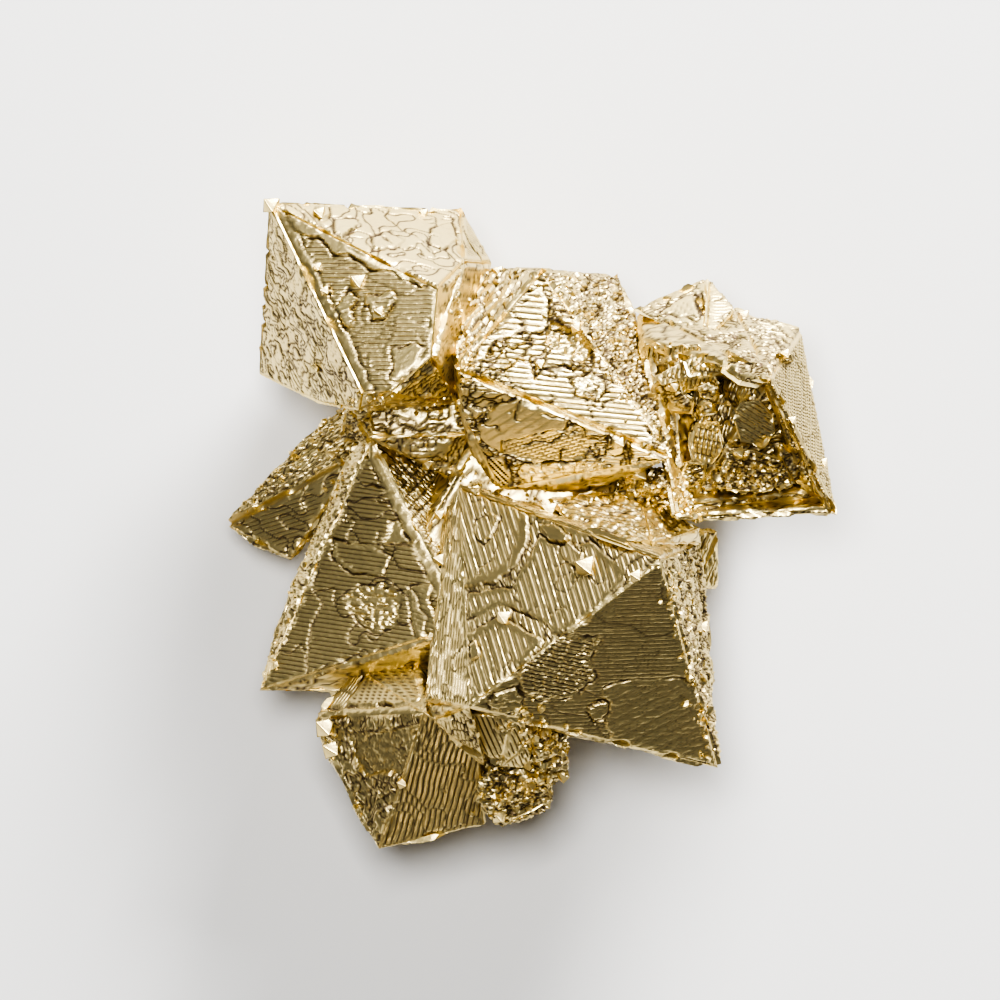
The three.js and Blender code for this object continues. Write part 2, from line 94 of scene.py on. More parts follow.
RIGHT = dict(
    near=(15.9, 9.6, 21.9), top_left=(7.3, 12.2, 13.6), top_right=(18.1, 12.8, 10.4),
    bottom_right=(20.4, 0.6, 14.8), bottom_left=(9.5, 0.1, 18.0), back_top_left=(7.3, 14.3, 9.5),
    back_top=(13.5, 14.4, 8.8), far=(11.7, 3.2, 5.4),
)
RIGHT_PEAK = dict(
    apex=(11.9, 16.4, 8.8), left=(7.0, 14.2, 11.0), right=(13.7, 14.2, 11.0),
    front=(11.6, 11.8, 14.2), back=(10.6, 12.8, 3.5),
)
LOWER_RIGHT = dict(
    near=(8.5, -2.4, 25.7), left=(-4.9, 2.4, 15.5), top_right=(11.4, -1.2, 9.2),
    bottom_right=(12.5, -16.4, 15.5), bottom_left=(-4.1, -12.2, 22.2),
    strip_high=(-6.1, -0.2, 13.8), strip_low=(-7.1, -11.8, 17.2), far=(-1.1, -11.4, 5.3),
)
LOWER_RIGHT_LAYER = dict(
    left=(1.0, 1.6, 15.5), top=(7.3, 1.9, 15.5), right=(11.1, -0.4, 14.5),
    right_low=(11.3, -1.4, 12.5), front=(8.0, -1.4, 21.0), front_left=(3.0, -0.6, 19.0),
    back=(6.0, 0.0, 8.0),
)
LOWER_RIGHT_BLOCK = dict(
    front_top=(11.0, -0.5, 10.9), outer_top=(12.5, -0.6, 9.6), outer_low=(12.5, -4.5, 9.8),
    front_low=(11.0, -4.4, 11.6), inner=(8.5, -2.5, 8.0), back_top=(11.0, -1.0, 6.5),
    back_low=(11.0, -4.0, 6.5),
)
STRIP_END = dict(
    high=(-6.9, -11.8, 17.6), left=(-6.4, -13.0, 18.3), top=(-4.1, -12.2, 22.0),
    right=(-3.2, -15.6, 18.9), low=(-3.1, -16.2, 17.6), side=(-4.6, -14.9, 18.0),
    back=(-4.5, -13.0, 10.0),
)
LOWER_FOOT = dict(
    left=(-4.1, -12.6, 20.5), top=(-1.3, -12.9, 20.6), right=(0.4, -14.2, 19.0),
    tip=(-0.2, -16.4, 16.5), low=(-2.0, -16.3, 17.4), side=(-3.4, -15.2, 18.4),
    back=(-1.0, -12.5, 10.0),
)
LOWER_LEFT = dict(
    apex=(-10.7, 5.6, 12.8), tip=(-18.2, -11.3, 11.5), near=(-4.4, -6.9, 16.8),
    bottom=(-6.7, -11.2, 11.5), right=(-0.7, 5.5, 4.8), edge_high=(-11.9, 4.9, 10.4),
    edge_middle=(-15.7, -3.4, 9.6), edge_low=(-17.5, -8.7, 10.0), back_left=(-12.7, -2.5, 2.2),
    back=(-3.4, -5.2, 0.8),
)
FAR_LEFT = dict(
    tip=(-20.4, -0.3, 5.5), near=(-11.3, 4.7, 9.9), top=(-12.0, 8.2, 7.0),
    upper_edge=(-17.7, 3.0, 5.8), upper_middle=(-15.2, 5.8, 6.2), bottom=(-16.1, -2.6, 7.4),
    bottom_left=(-18.7, -1.6, 5.6), back=(-13.4, 1.5, 1.5),
)
SADDLE = dict(
    back_left=(-11.3, 8.8, 12.6), back_right=(-4.6, 8.4, 12.0), front_left=(-10.8, 5.7, 14.2),
    front_right=(-4.2, 5.9, 13.6), low=(-5.0, 2.7, 13.0), back=(-7.4, 6.2, 3.5),
)
NECK = dict(
    top_left=(-12.3, 8.0, 17.6), top_right=(-10.9, 8.0, 18.8), low_left=(-12.7, 5.6, 11.4),
    low_right=(-10.5, 5.3, 13.6), back=(-11.5, 7.0, 7.5),
)
BOTTOM = dict(
    left=(-14.4, -13.0, 13.5), near=(-7.1, -12.6, 18.2), tip=(-10.2, -21.9, 12.8),
    right=(-3.1, -20.2, 14.2), right_high=(-3.4, -14.8, 17.5), top_left=(-11.6, -9.7, 12.2),
    top=(-7.9, -8.6, 12.8), side=(-13.4, -16.0, 11.5), back=(-8.7, -15.2, 4.2),
)
CRUST_HIGH = dict(
    top=(-0.1, -13.3, 19.3), right=(2.3, -14.8, 18.0), low=(2.1, -16.6, 16.6),
    left=(0.3, -16.2, 17.8), back=(0.6, -13.0, 10.0),
)
CRUST_LOW = dict(
    top=(-2.7, -16.4, 16.8), top_right=(1.1, -17.0, 15.5), right=(1.5, -18.5, 14.8),
    low=(0.6, -19.5, 14.2), bottom=(-2.1, -20.3, 14.8), left=(-3.6, -18.5, 16.4),
    back=(-2.0, -15.5, 9.0),
)
GAP_FILLER = dict(
    left=(6.5, 4.0, 15.0), right=(11.0, 3.0, 16.0), low_right=(12.2, 0.2, 14.5),
    low_left=(5.0, 1.2, 15.5), near=(8.6, 2.4, 17.6), back=(8.5, 1.5, 6.0),
)

# %% [markdown]
# ## Hills, lines and outlines
#
# Growth on a crystal face is uneven but not random: plates end in wandering edges, and grooves
# run along them. A field of smooth hills gives such wandering lines, where it passes a chosen
# level. It is worked out for many points at once, from a seed, so each run gives the same
# surface. Outlines drawn one by one give the few plates that anyone would remember.

# %% Fields of hills
WEAR = 0.035                    # how far the sharp edges are worn down
BITE = 0.14                     # depth of the bites in them


def chance(i, j, seed):
    """A repeatable number from 0 to 1 for each crossing of a grid."""
    return np.abs(np.sin(i * 12.9898 + j * 78.233 + seed * 37.719) * 43758.5453) % 1.0


def ease(value, low, high):
    """0 below low, 1 above high, and a smooth rise between them."""
    share = np.clip((value - low) / (high - low), 0, 1)
    return share * share * (3 - 2 * share)


def hills(u, v, size, seed):
    """Smooth hills and hollows about as wide as size, from about -1 to 1."""
    u, v = u / size, v / size
    i, j = np.floor(u), np.floor(v)
    a, b = u - i, v - j

    def corner(di, dj):
        turn = 2 * math.pi * chance(i + di, j + dj, seed)
        return np.cos(turn) * (a - di) + np.sin(turn) * (b - dj)

    across, up = ease(a, 0, 1), ease(b, 0, 1)
    low = corner(0, 0) * (1 - across) + corner(1, 0) * across
    high = corner(0, 1) * (1 - across) + corner(1, 1) * across
    return 1.5 * (low * (1 - up) + high * up)


def ragged(u, v, size, seed):
    """Hills with smaller ones on them, so that their contour lines are ragged."""
    return hills(u, v, size, seed) + 0.4 * hills(u, v, size / 3, seed + 1)


def field_slope(u, v, size, seed):
    """A ragged field, and how steep it is in each place."""
    step = 0.02
    level = ragged(u, v, size, seed)
    slope = np.hypot(
        ragged(u + step, v, size, seed) - level, ragged(u, v + step, size, seed) - level)
    return level, np.maximum(slope / step, 0.3 / size)


def inside(outline, x, y):
    """Distance to an outline seen from above: above zero inside it, below zero outside."""
    near = np.full(x.shape, np.inf)
    within = np.zeros(x.shape, bool)
    for (ax, ay), (bx, by) in zip(outline, outline[1:] + outline[:1]):
        run, rise = bx - ax, by - ay
        share = np.clip(((x - ax) * run + (y - ay) * rise) / (run * run + rise * rise), 0, 1)
        near = np.minimum(near, np.hypot(x - ax - share * run, y - ay - share * rise))
        if rise:
            within ^= ((ay > y) != (by > y)) & (x < run * (y - ay) / rise + ax)
    return np.where(within, near, -near)


def bitten(places):
    """How far a sharp edge is worn or bitten away at each place, in mm.

    It depends on the place alone, so the faces on both sides of an edge agree.
    """
    x, y, z = places.T
    worn = WEAR * (1 + 1.3 * hills(x + z, y - z, 0.7, 3))
    return worn + BITE * ease(hills(x - 0.6 * z, y + 0.7 * z, 1.3, 5), 0.15, 0.45)


# %% [markdown]
# ## The relief on one face
#
# Each face has its own look: the way its stripes run, their pitch, how deep the grooves between
# them are, and how much of it is layers, wandering grooves or rough grain. One function turns
# that look into a height over the flat face, and a second number that says how deep in a groove
# each point lies. The material uses that to paint shade into the grooves, and to make them rougher.

# %% How a face looks
LOOK = dict(
    along=(1, 0),       # the way the stripes run, seen from above
    pitch=0.32,         # from one stripe to the next
    stripe=0.05,        # depth of the grooves between stripes
    hatch=False,        # stripes both ways
    whole=0.2,          # 0 for stripes in scattered patches, 1 for stripes everywhere
    wander=0.03,        # how far the stripes stray from straight
    layer=0.07,         # height of the edge of a growth layer
    spread=6.0,         # from one such edge to the next
    worm=0.0,           # depth of wandering grooves
    crawl=0.9,          # from one wandering groove to the next
    grain=0.0,          # height of rough grain
    coarse=0.6,         # width of that grain
    rim=0.3,            # smooth border along the edges
    sunk=0.02,          # how far the striped field lies under the border
    plates=(),          # plates drawn one by one
    fine=True,          # False for a coarser sheet, on a face that is seldom seen
)
Plate = namedtuple(
    "Plate", "outline lift along pitch stripe rim hatch worm",
    defaults=(0.12, (1, 0), 0.32, 0.05, 0.25, False, 0))


def band(corners, start, end, width, lift=0.04):
    """A smooth plate along the edge between two named corners."""
    a, b = Vector(corners[start][:2]), Vector(corners[end][:2])
    side = (b - a).orthogonal().normalized() * width
    corners = (tuple(a + side), tuple(b + side), tuple(b - side), tuple(a - side))
    return Plate(corners, lift, stripe=0)


# %% [markdown]
# Stripes repeat at a pitch, and grain is three sizes of hills, one on the other. The relief adds
# them up: layers first, then stripes, then plates over them, then the grooves and grain that cut
# through all of it. It fades out at the edges of a face, where it has to meet its neighbours.

# %% Stripes, grain and relief
LAYER_LEVELS = (-0.45, -0.1, 0.25)              # where in the field of hills each layer ends
LAYER_SHIFT = 0.37              # how far each layer shifts the stripes, as a share of their pitch
FULL_LAYER, FULL_STRIPE, FULL_WORM = 0.05, 0.02, 0.07   # from this depth on, a groove gets its full painted shade
PATCH = 2.4                     # width of a striped patch
SKIN = 0.02                     # height of the roughness that no face is without
SINK = 0.015                    # how far the striped field of a plate lies under its border
RING = 0.09                     # depth of the groove round a plate


def stripes(across, pitch):
    """How deep in the groove between two stripes each point lies, from 0 to 1."""
    off = np.abs((across / pitch) % 1.0 - 0.5)
    return 1 - ease(off, 0.04, 0.24)


def rough(u, v, size, seed):
    """Lumpy grain like fine gravel, from about 0 to 1."""
    total = np.zeros_like(u)
    for octave in range(3):
        width = size / 2 ** octave
        total += np.abs(hills(u, v, width, seed + octave)) / 2 ** octave
    return np.minimum(total, 1.2)


def layers(u, v, look, seed):
    """Height of the growth layers, grooves at their feet, and how far they shift the stripes."""
    stray_u = u + 0.10 * hills(u, v, 0.7, seed)
    stray_v = v + 0.10 * hills(u, v, 0.7, seed + 1)
    level, slope = field_slope(stray_u, stray_v, look["spread"], seed + 2)
    height, groove, shift = np.zeros((3, len(u)))
    for mark in LAYER_LEVELS:
        gap = (level - mark) / slope
        height += look["layer"] * ease(gap, 0.0, 0.12)
        # The foot of each layer counts as a groove, where the material paints shade.
        foot = 1 - ease(np.abs(gap + 0.03), 0.03, 0.11)
        groove = np.maximum(groove, foot * min(1, look["layer"] / FULL_LAYER))
        shift += LAYER_SHIFT * (gap > 0)
    return height, groove, shift


def striped_patches(u, v, edge, shift, look, seed):
    """How deep in a groove between stripes each point lies, on the striped parts of a face."""
    patch = ease(hills(u, v, PATCH, seed + 7) + look["whole"], -0.12, 0.0)
    field = ease(edge, look["rim"], look["rim"] + 0.15)
    bent = v + look["wander"] * hills(u, v, 1.6, seed + 9) + look["pitch"] * shift
    cut = stripes(bent, look["pitch"])
    if look["hatch"]:
        cut = np.maximum(cut, stripes(u, look["pitch"]))
    return cut * patch * field * min(1, look["stripe"] / FULL_STRIPE)


def wandering(u, v, size, width, seed):
    """Grooves that wander like worms, from 0 beside them to 1 inside."""
    level, slope = field_slope(u, v, size, seed)
    return 1 - ease(np.abs(level / slope), 0.03, width)


def relief(u, v, x, y, edge, look, seed):
    """Height over a flat face, and depth in a groove, at each of its points."""
    height, groove, shift = layers(u, v, look, seed)
    height -= look["sunk"] * ease(edge, look["rim"], look["rim"] + 0.12)
    cut = striped_patches(u, v, edge, shift, look, seed)
    for plate in look["plates"]:
        height, groove, cut = lay_plate(plate, x, y, seed, height, groove, cut, look)
    height -= look["stripe"] * cut
    # The grooves between stripes get painted shade by this depth.
    groove = np.maximum(groove, 0.9 * cut)
    if look["worm"]:
        line = wandering(u, v, look["crawl"], 0.11, seed + 11)
        line *= ease(hills(u, v, 2.0, seed + 13), -0.15, 0.05)
        height -= look["worm"] * line
        groove = np.maximum(groove, line * min(1, look["worm"] / FULL_WORM))
    if look["grain"]:
        lumps = rough(u, v, look["coarse"], seed + 15)
        height += look["grain"] * (lumps - 0.5) * ease(edge, 0.0, 0.3)
        # The hollows between grains get painted shade too.
        groove = np.maximum(groove, 0.8 * (1 - ease(lumps, 0.05, 0.3)))
    height += SKIN * rough(u, v, 0.35, seed + 19)
    return height * ease(edge, 0.0, 0.07), groove * ease(edge, -0.02, 0.05)


def lay_plate(plate, x, y, seed, height, groove, cut, look):
    """Lay one listed plate over what is there."""
    wavy_x = x + 0.16 * hills(x, y, 0.9, seed + 21) + 0.08 * hills(x, y, 0.3, seed + 24)
    wavy_y = y + 0.16 * hills(x, y, 0.9, seed + 22) + 0.08 * hills(x, y, 0.3, seed + 25)
    depth = inside(list(plate.outline), wavy_x, wavy_y)
    on = ease(depth, -0.03, 0.07)
    lead = math.hypot(*plate.along)
    own = stripes((plate.along[0] * y - plate.along[1] * x) / lead, plate.pitch)
    if plate.hatch:
        other = (plate.along[0] * x + plate.along[1] * y) / lead
        own = np.maximum(own, stripes(other, plate.pitch))
    own *= ease(depth, plate.rim, plate.rim + 0.12)
    own *= plate.stripe / max(look["stripe"], 0.01)
    sunk = SINK * ease(depth, plate.rim, plate.rim + 0.2) if plate.stripe > 0.03 else 0
    height = height * (1 - on) + (plate.lift - sunk) * on
    if plate.worm:
        line = wandering(x, y, 0.7, 0.12, seed + 23) * on
        height -= plate.worm * line
        groove = np.maximum(groove, line)
    cut = cut * (1 - on) * ease(-depth, 0.0, 0.1) + own * on
    ring = 1 - ease(np.abs(depth + 0.07), 0.04, 0.13)
    ring *= 0.3 + 0.7 * ease(hills(x, y, 0.9, seed + 26), -0.35, 0.1)
    # The ring round a plate gets painted shade, as a dark outline at its foot.
    return height - RING * ring, np.maximum(groove * (1 - 0.9 * on), ring), cut


# %% [markdown]
# ## Sheets on flat faces
#
# A crystal starts as the hull round its corners. Each of its faces then gets a sheet: a grid
# whose rows run along the stripes, so that every stripe is drawn by whole rows, cut to the face
# by planes. A ring of triangles joins the sheet to the crystal's edges, which neighbouring faces
# share, so the crystal stays one closed skin. Subdividing the hull evenly would spend far more
# faces and still leave the stripes jagged.

# %% A sheet for one face
ROWS = 6                        # least rows of faces to one stripe
ROW = 0.07                      # widest row
STEP = 0.13                     # length of a face along a stripe
COARSE_STEP = 0.24              # both ways, on faces that are seldom seen
EDGE_STEP = 0.3                 # pieces that a crystal's long edges are cut in
MARGIN = 0.08                   # between a sheet and the edges of its face
TOUCH = 1e-4                    # points nearer than this are one


def directions(normal, along):
    """Two directions that lie in a face: along its stripes, and across them."""
    lift = -(normal.x * along[0] + normal.y * along[1]) / normal.z if abs(normal.z) > 0.25 else 0
    lead = Vector((along[0], along[1], lift))
    lead = (lead - normal * lead.dot(normal)).normalized()
    return lead, normal.cross(lead)


def sheet(corners, normal, lead, side, row, step):
    """A grid on a face's plane, cut to stay inside its border."""
    work = bmesh.new()
    ends = [corner.dot(lead) for corner in corners]
    sides = [corner.dot(side) for corner in corners]
    first, last = math.floor(min(sides) / row), math.ceil(max(sides) / row)
    columns = max(1, math.ceil((max(ends) - min(ends)) / step))
    middle = lead * (min(ends) + max(ends)) / 2 + side * row * (first + last) / 2
    middle += normal * (sum(corner.dot(normal) for corner in corners) / len(corners))
    turn = Matrix((lead, side, normal)).transposed().to_4x4()
    size = Matrix.Diagonal((columns * step / 2, row * (last - first) / 2, 1, 1))
    bmesh.ops.create_grid(
        work, x_segments=columns, y_segments=last - first, size=1,
        matrix=Matrix.Translation(middle) @ turn @ size)
    for here, there in zip(corners, corners[1:] + corners[:1]):
        inward = normal.cross(there - here).normalized()
        bmesh.ops.bisect_plane(
            work, geom=work.verts[:] + work.edges[:] + work.faces[:], dist=TOUCH,
            plane_co=here + inward * MARGIN, plane_no=-inward, clear_outer=True)
    return work


def border(work, loop, normal):
    """Join a sheet to the edges of its face with a ring of triangles.

    Filling can skip the middle one of three points in line, which leaves a gap as thin as a
    line. Every such gap is a small loop of edges, and is filled in its turn.
    """
    inner = [edge for edge in work.edges if edge.is_boundary]
    points = [work.verts.new(point) for point in loop]
    outer = [work.edges.new(pair) for pair in zip(points, points[1:] + points[:1])]
    bmesh.ops.triangle_fill(
        work, edges=inner + outer, use_beauty=False, use_dissolve=False, normal=normal)
    rim = set(outer)
    gaps = [edge for edge in work.edges if edge.is_wire or (edge.is_boundary and edge not in rim)]
    if gaps:
        bmesh.ops.edgenet_fill(work, edges=gaps)
    return points


def drop_slivers(whole, edge_layer):
    """Remove the slivers left along a shared edge, where each face was filled on its own.

    Two that lie on each other go as a pair. One whose twin was never made hangs by a single
    edge, and goes too.
    """
    found = {}
    for face in whole.faces:
        if all(vert[edge_layer] for vert in face.verts):
            found.setdefault(frozenset(face.verts), []).append(face)
    pairs = [face for faces in found.values() if len(faces) == 2 for face in faces]
    bmesh.ops.delete(whole, geom=pairs, context="FACES")
    hanging = True
    while hanging:
        hanging = [
            face for face in whole.faces if sum(edge.is_boundary for edge in face.edges) > 1]
        bmesh.ops.delete(whole, geom=hanging, context="FACES")


# %% [markdown]
# ## From a hull to a crystal
#
# A face of a real crystal is seldom quite flat: it is made of two or three that differ by a few
# degrees. The hull keeps them, and a sheet is laid over all of them together, so the stripes run
# on without a seam. The edges are worn a little where the metal is soft.

# %% Growing a crystal
CRYSTALS = []                   # every crystal that has been grown
FAR = 1e9                       # farther than anything
LEVEL = math.radians(7)         # faces that differ by less than this are laid as one
ALIKE = 0.97                    # least cosine between a face and the one that a look is for
IN_LEVEL = 0.98                 # least cosine between such a face and each plane laid in it
ON_PLANE = 0.01                 # a corner nearer to a plane than this lies on it
BEND = 0.02                     # sine of the least turn at a true corner
PLAIN = dict(
    LOOK, fine=False, pitch=0.9, stripe=0.012, whole=0.0, layer=0.08, spread=4.0, grain=0.05,
    coarse=1.2)


def hull_of(corners):
    """The hull round some corners, its nearly level triangles merged, and their planes."""
    work = bmesh.new()
    for corner in corners:
        work.verts.new(corner)
    bmesh.ops.convex_hull(work, input=work.verts[:])
    planes = [(face.normal.copy(), face.verts[0].co.copy()) for face in work.faces]
    bmesh.ops.dissolve_limit(work, angle_limit=LEVEL, verts=work.verts[:], edges=work.edges[:])
    return work, planes


def cut_edges(work):
    """Cut long edges in short pieces, for the rings to join."""
    for edge in list(work.edges):
        pieces = max(1, round(edge.calc_length() / EDGE_STEP))
        if pieces > 1:
            bmesh.ops.subdivide_edges(work, edges=[edge], cuts=pieces - 1)


def turning_points(face):
    """The true corners of a face whose edges have been cut in pieces."""
    points = [loop.vert.co.copy() for loop in face.loops]
    found = []
    for before, here, after in zip(points[-1:] + points[:-1], points, points[1:] + points[:1]):
        if (here - before).normalized().cross((after - here).normalized()).length > BEND:
            found.append(here)
    return found, points


def face_normal(corners, names):
    """The outward direction of the face through three named corners."""
    a, b, c = (Vector(corners[name]) for name in names)
    middle = sum((Vector(corner) for corner in corners.values()), Vector()) / len(corners)
    normal = (b - a).cross(c - a).normalized()
    return normal if normal.dot(a - middle) > 0 else -normal


def look_for(normal, looks, plain):
    """The look whose face points most nearly the same way, or the plain one."""
    best = max(looks, key=lambda item: item[0].dot(normal), default=None)
    return {**LOOK, **best[1]} if best and best[0].dot(normal) > ALIKE else plain


def distance_in(flat, corners, normal):
    """How far each point of a face lies from its nearest edge."""
    edge = np.full(len(flat), FAR)
    for here, there in zip(corners, corners[1:] + corners[:1]):
        inward = normal.cross(there - here).normalized()
        edge = np.minimum(edge, (flat - np.array(here)) @ np.array(inward))
    return edge


def level_with(flat, corners, normal, planes):
    """How far each point must move to lie on the hull's own planes, where several were merged."""
    level = np.full(len(flat), FAR)
    for plane_normal, point in planes:
        facing = plane_normal.dot(normal)
        shared = sum(abs((corner - point).dot(plane_normal)) < ON_PLANE for corner in corners)
        if facing > IN_LEVEL and shared > 2:
            gap = (np.array(point) - flat) @ np.array(plane_normal) / facing
            level = np.minimum(level, gap)
    return np.where(level < FAR, level, 0)


def dress_face(face, look, planes, seed):
    """The sheet of one face with its relief, still open at the crystal's edges."""
    corners, loop = turning_points(face)
    normal = face.normal.copy()
    lead, side = directions(normal, look["along"])
    rows = max(ROWS, round(look["pitch"] / ROW))
    row = look["pitch"] / rows if look["fine"] else COARSE_STEP / 1.5
    work = sheet(corners, normal, lead, side, row, STEP if look["fine"] else COARSE_STEP)
    # Each point keeps its depth in a groove, which the material turns into painted shade.
    groove_layer = work.verts.layers.float.new("groove")
    edge_layer = work.verts.layers.int.new("edge")
    flat = np.array([vert.co for vert in work.verts]).reshape(-1, 3)
    if len(flat):
        edge = distance_in(flat, corners, normal)
        u, v = flat @ np.array(lead), flat @ np.array(side)
        height, groove = relief(u, v, flat[:, 0], flat[:, 1], edge - MARGIN, look, seed)
        height -= bitten(flat) * (1 - ease(edge, 0.1, 0.6))
        height += level_with(flat, corners, normal, planes)
        for vert, place, depth in zip(work.verts, flat + np.outer(height, normal), groove):
            vert.co = place
            vert[groove_layer] = depth
    for vert in border(work, loop, normal):
        vert[edge_layer] = 1
    uv = work.loops.layers.uv.new("OFBake")
    for part in work.faces:
        for corner in part.loops:
            corner[uv].uv = (corner.vert.co.dot(lead), corner.vert.co.dot(side))
    return work


# %% [markdown]
# Each crystal gets a map of its own: its faces lie flat side by side in one square, at one scale
# and with a gap round each.

# %% The surface's own map
GUTTER = 0.3                    # half the gap between two faces on the map
SPARE = 1.2                     # least area of the square, over that of all it holds


def pack_sheets(sheets):
    """Lay the faces' flat pictures side by side in one square, for the surface's own map."""
    boxes = []
    for work in sheets:
        uv = work.loops.layers.uv["OFBake"]
        spots = [corner[uv].uv for part in work.faces for corner in part.loops]
        low = Vector((min(spot.x for spot in spots), min(spot.y for spot in spots)))
        high = Vector((max(spot.x for spot in spots), max(spot.y for spot in spots)))
        boxes.append((work, uv, low, high - low + Vector((2 * GUTTER, 2 * GUTTER))))
    boxes.sort(key=lambda box: -box[3].y)
    area = sum(size.x * size.y for _, _, _, size in boxes)
    width = max(max(size.x for _, _, _, size in boxes), math.sqrt(SPARE * area))
    x, y, tall, places = 0.0, 0.0, 0.0, []
    for work, uv, low, size in boxes:
        if x + size.x > width:
            x, y, tall = 0.0, y + tall, 0.0
        places.append((work, uv, low, Vector((x, y))))
        x, tall = x + size.x, max(tall, size.y)
    side = max(width, y + tall)
    for work, uv, low, place in places:
        for part in work.faces:
            for corner in part.loops:
                corner[uv].uv = (corner[uv].uv - low + place + Vector((GUTTER, GUTTER))) / side


# %% [markdown]
# The dressed faces are merged along the crystal's edges, where their rings meet point for point.
# The edges are then worn down. Crusted pieces are crumpled as a whole, because their edges are as
# lumpy as their faces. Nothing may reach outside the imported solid's box.

# %% Closing the skin
def crumple(work, height):
    """Push a whole skin in and out in lumps, edges and all."""
    work.normal_update()
    for vert in work.verts:
        big = noise.noise(vert.co * 0.9)
        small = abs(noise.noise(vert.co * 2.3))
        vert.co += vert.normal * height * (0.9 * big + 0.9 * small - 0.2)


def stay_in(centre, reach=0):
    """A middle, shifted so that what reaches this far round it stays inside the solid's box."""
    lows, highs = ([side / MM for side in corner] for corner in SOLID_BOX)
    return Vector([
        min(max(side, low + reach), high - reach) for side, low, high in zip(centre, lows, highs)])


def close_up(sheets, lumps=0):
    """Join the dressed faces in one closed skin, and wear its edges down a little."""
    pack_sheets(sheets)
    whole = bmesh.new()
    mesh = bpy.data.meshes.new("face")
    for work in sheets:
        work.to_mesh(mesh)
        work.free()
        whole.from_mesh(mesh)
    bpy.data.meshes.remove(mesh)
    rims = [vert for vert in whole.verts if vert.is_boundary]
    bmesh.ops.remove_doubles(whole, verts=rims, dist=TOUCH)
    drop_slivers(whole, whole.verts.layers.int["edge"])
    pinched = {vert for edge in whole.edges if len(edge.link_faces) != 2 for vert in edge.verts}
    if pinched:
        bmesh.ops.remove_doubles(whole, verts=list(pinched), dist=EDGE_STEP * 0.7)
        drop_slivers(whole, whole.verts.layers.int["edge"])
    bmesh.ops.recalc_face_normals(whole, faces=whole.faces[:])
    whole.normal_update()
    edge_layer = whole.verts.layers.int["edge"]
    worn = [(vert, vert.normal.copy()) for vert in whole.verts if vert[edge_layer]]
    for (vert, out), depth in zip(worn, bitten(np.array([vert.co for vert, _ in worn]))):
        vert.co -= out * (depth + WEAR)
    if lumps:
        crumple(whole, lumps)
    for vert in whole.verts:
        vert.co = stay_in(vert.co)
    return whole


# %% [markdown]
# A closed skin becomes an object in metres, rides on the frame's one body, and takes the place
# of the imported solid. Sharp turns are shaded as edges, and the rest is shaded smooth.

# %% From a skin to a piece of the cluster
SHARP = math.radians(38)        # edges that turn more than this are shaded as sharp


def keep(work, name):
    """Make a finished bmesh an object of the cluster, in metres."""
    bmesh.ops.scale(work, vec=(MM, MM, MM), verts=work.verts[:])
    mesh = bpy.data.meshes.new(name)
    for part in work.faces:
        part.smooth = True
    work.to_mesh(mesh)
    open_edges = sum(1 for edge in work.edges if len(edge.link_faces) != 2)
    work.free()
    mesh.set_sharp_from_angle(angle=SHARP)
    mesh.materials.append(NATIVE_GOLD)
    piece = bpy.data.objects.new(name, mesh)
    bpy.context.scene.collection.objects.link(piece)
    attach(piece, "root")
    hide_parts("gold_crystal")
    mesh.calc_loop_triangles()
    print(f"{name}: {len(mesh.loop_triangles)} triangles, {open_edges} open edges")
    return piece


def dress(corners, faces, seed, shape=None, plain=PLAIN):
    """The dressed faces of one crystal: hull, optional hollows, a sheet on each face."""
    work, planes = hull_of(corners.values())
    looks = [(face_normal(corners, names), look) for names, look in faces]
    if shape:
        shape(work)
    cut_edges(work)
    work.normal_update()
    sheets = []
    for index, face in enumerate(work.faces):
        look = look_for(face.normal, looks, plain)
        sheets.append(dress_face(face, look, planes, seed + 40 * index))
    work.free()
    return sheets


def grow(name, corners, faces, seed, shape=None, plain=PLAIN, lumps=0):
    """Grow one crystal as an object of the cluster."""
    CRYSTALS.append(keep(close_up(dress(corners, faces, seed, shape, plain), lumps), name))


# %% [markdown]
# ## Native gold
#
# Bare gold is a metal shader with a pale yellow colour: native gold holds some silver, which
# makes it paler than a ring. Three things vary over it. The grooves are rougher, and painted
# darker as the shade that falls in them. Soft clouds change the polish a little. A fine bump
# makes each small face glitter. The maths is written as expressions, by a small class that
# turns them into Math nodes.

# %% Shader maths
class Value:
    """A socket that can be added and multiplied, each time by a new Math node."""

    def __init__(self, tree, socket):
        self.tree, self.socket = tree, socket

    def maths(self, operation, first, second):
        return self.tree.add("ShaderNodeMath", {"operation": operation}, {0: first, 1: second})[0]

    def __add__(self, other):
        return self.maths("ADD", self, other)

    def __mul__(self, other):
        return self.maths("MULTIPLY", self, other)

    __radd__ = __add__
    __rmul__ = __mul__


class Finish:
    """A material, and one way to add any node to it."""

    def __init__(self, name):
        self.material = bpy.data.materials.new(name)
        self.material.use_nodes = True
        self.nodes = self.material.node_tree.nodes
        self.links = self.material.node_tree.links
        self.shader = self.nodes["Principled BSDF"]

    def fill(self, socket, value):
        if isinstance(value, Value):
            self.links.new(value.socket, socket)
        else:
            socket.default_value = value

    def add(self, kind, settings=None, sockets=None):
        """Add a node: its settings first, then the values or links of its sockets."""
        node = self.nodes.new(kind)
        for setting, value in (settings or {}).items():
            setattr(node, setting, value)
        for socket, value in (sockets or {}).items():
            self.fill(node.inputs[socket], value)
        return [Value(self, output) for output in node.outputs]

    def set(self, **sockets):
        for socket, value in sockets.items():
            self.fill(self.shader.inputs[socket.replace("_", " ")], value)


# %% [markdown]
# The gold mixes a pale and a deep tone by the soft clouds, then paints shade over them by the
# depth in a groove that each point was given when its face was dressed.

# %% The gold itself
CLOUD_SCALE, SPECK_SCALE = 260, 5200            # clouds and specks to a metre
GOLD = (0.93, 0.77, 0.36, 1)
DEEP_GOLD = (0.60, 0.44, 0.19, 1)
# painted shade: the colour of the deepest grooves
GROOVE_SHADE = (0.045, 0.026, 0.021, 1)


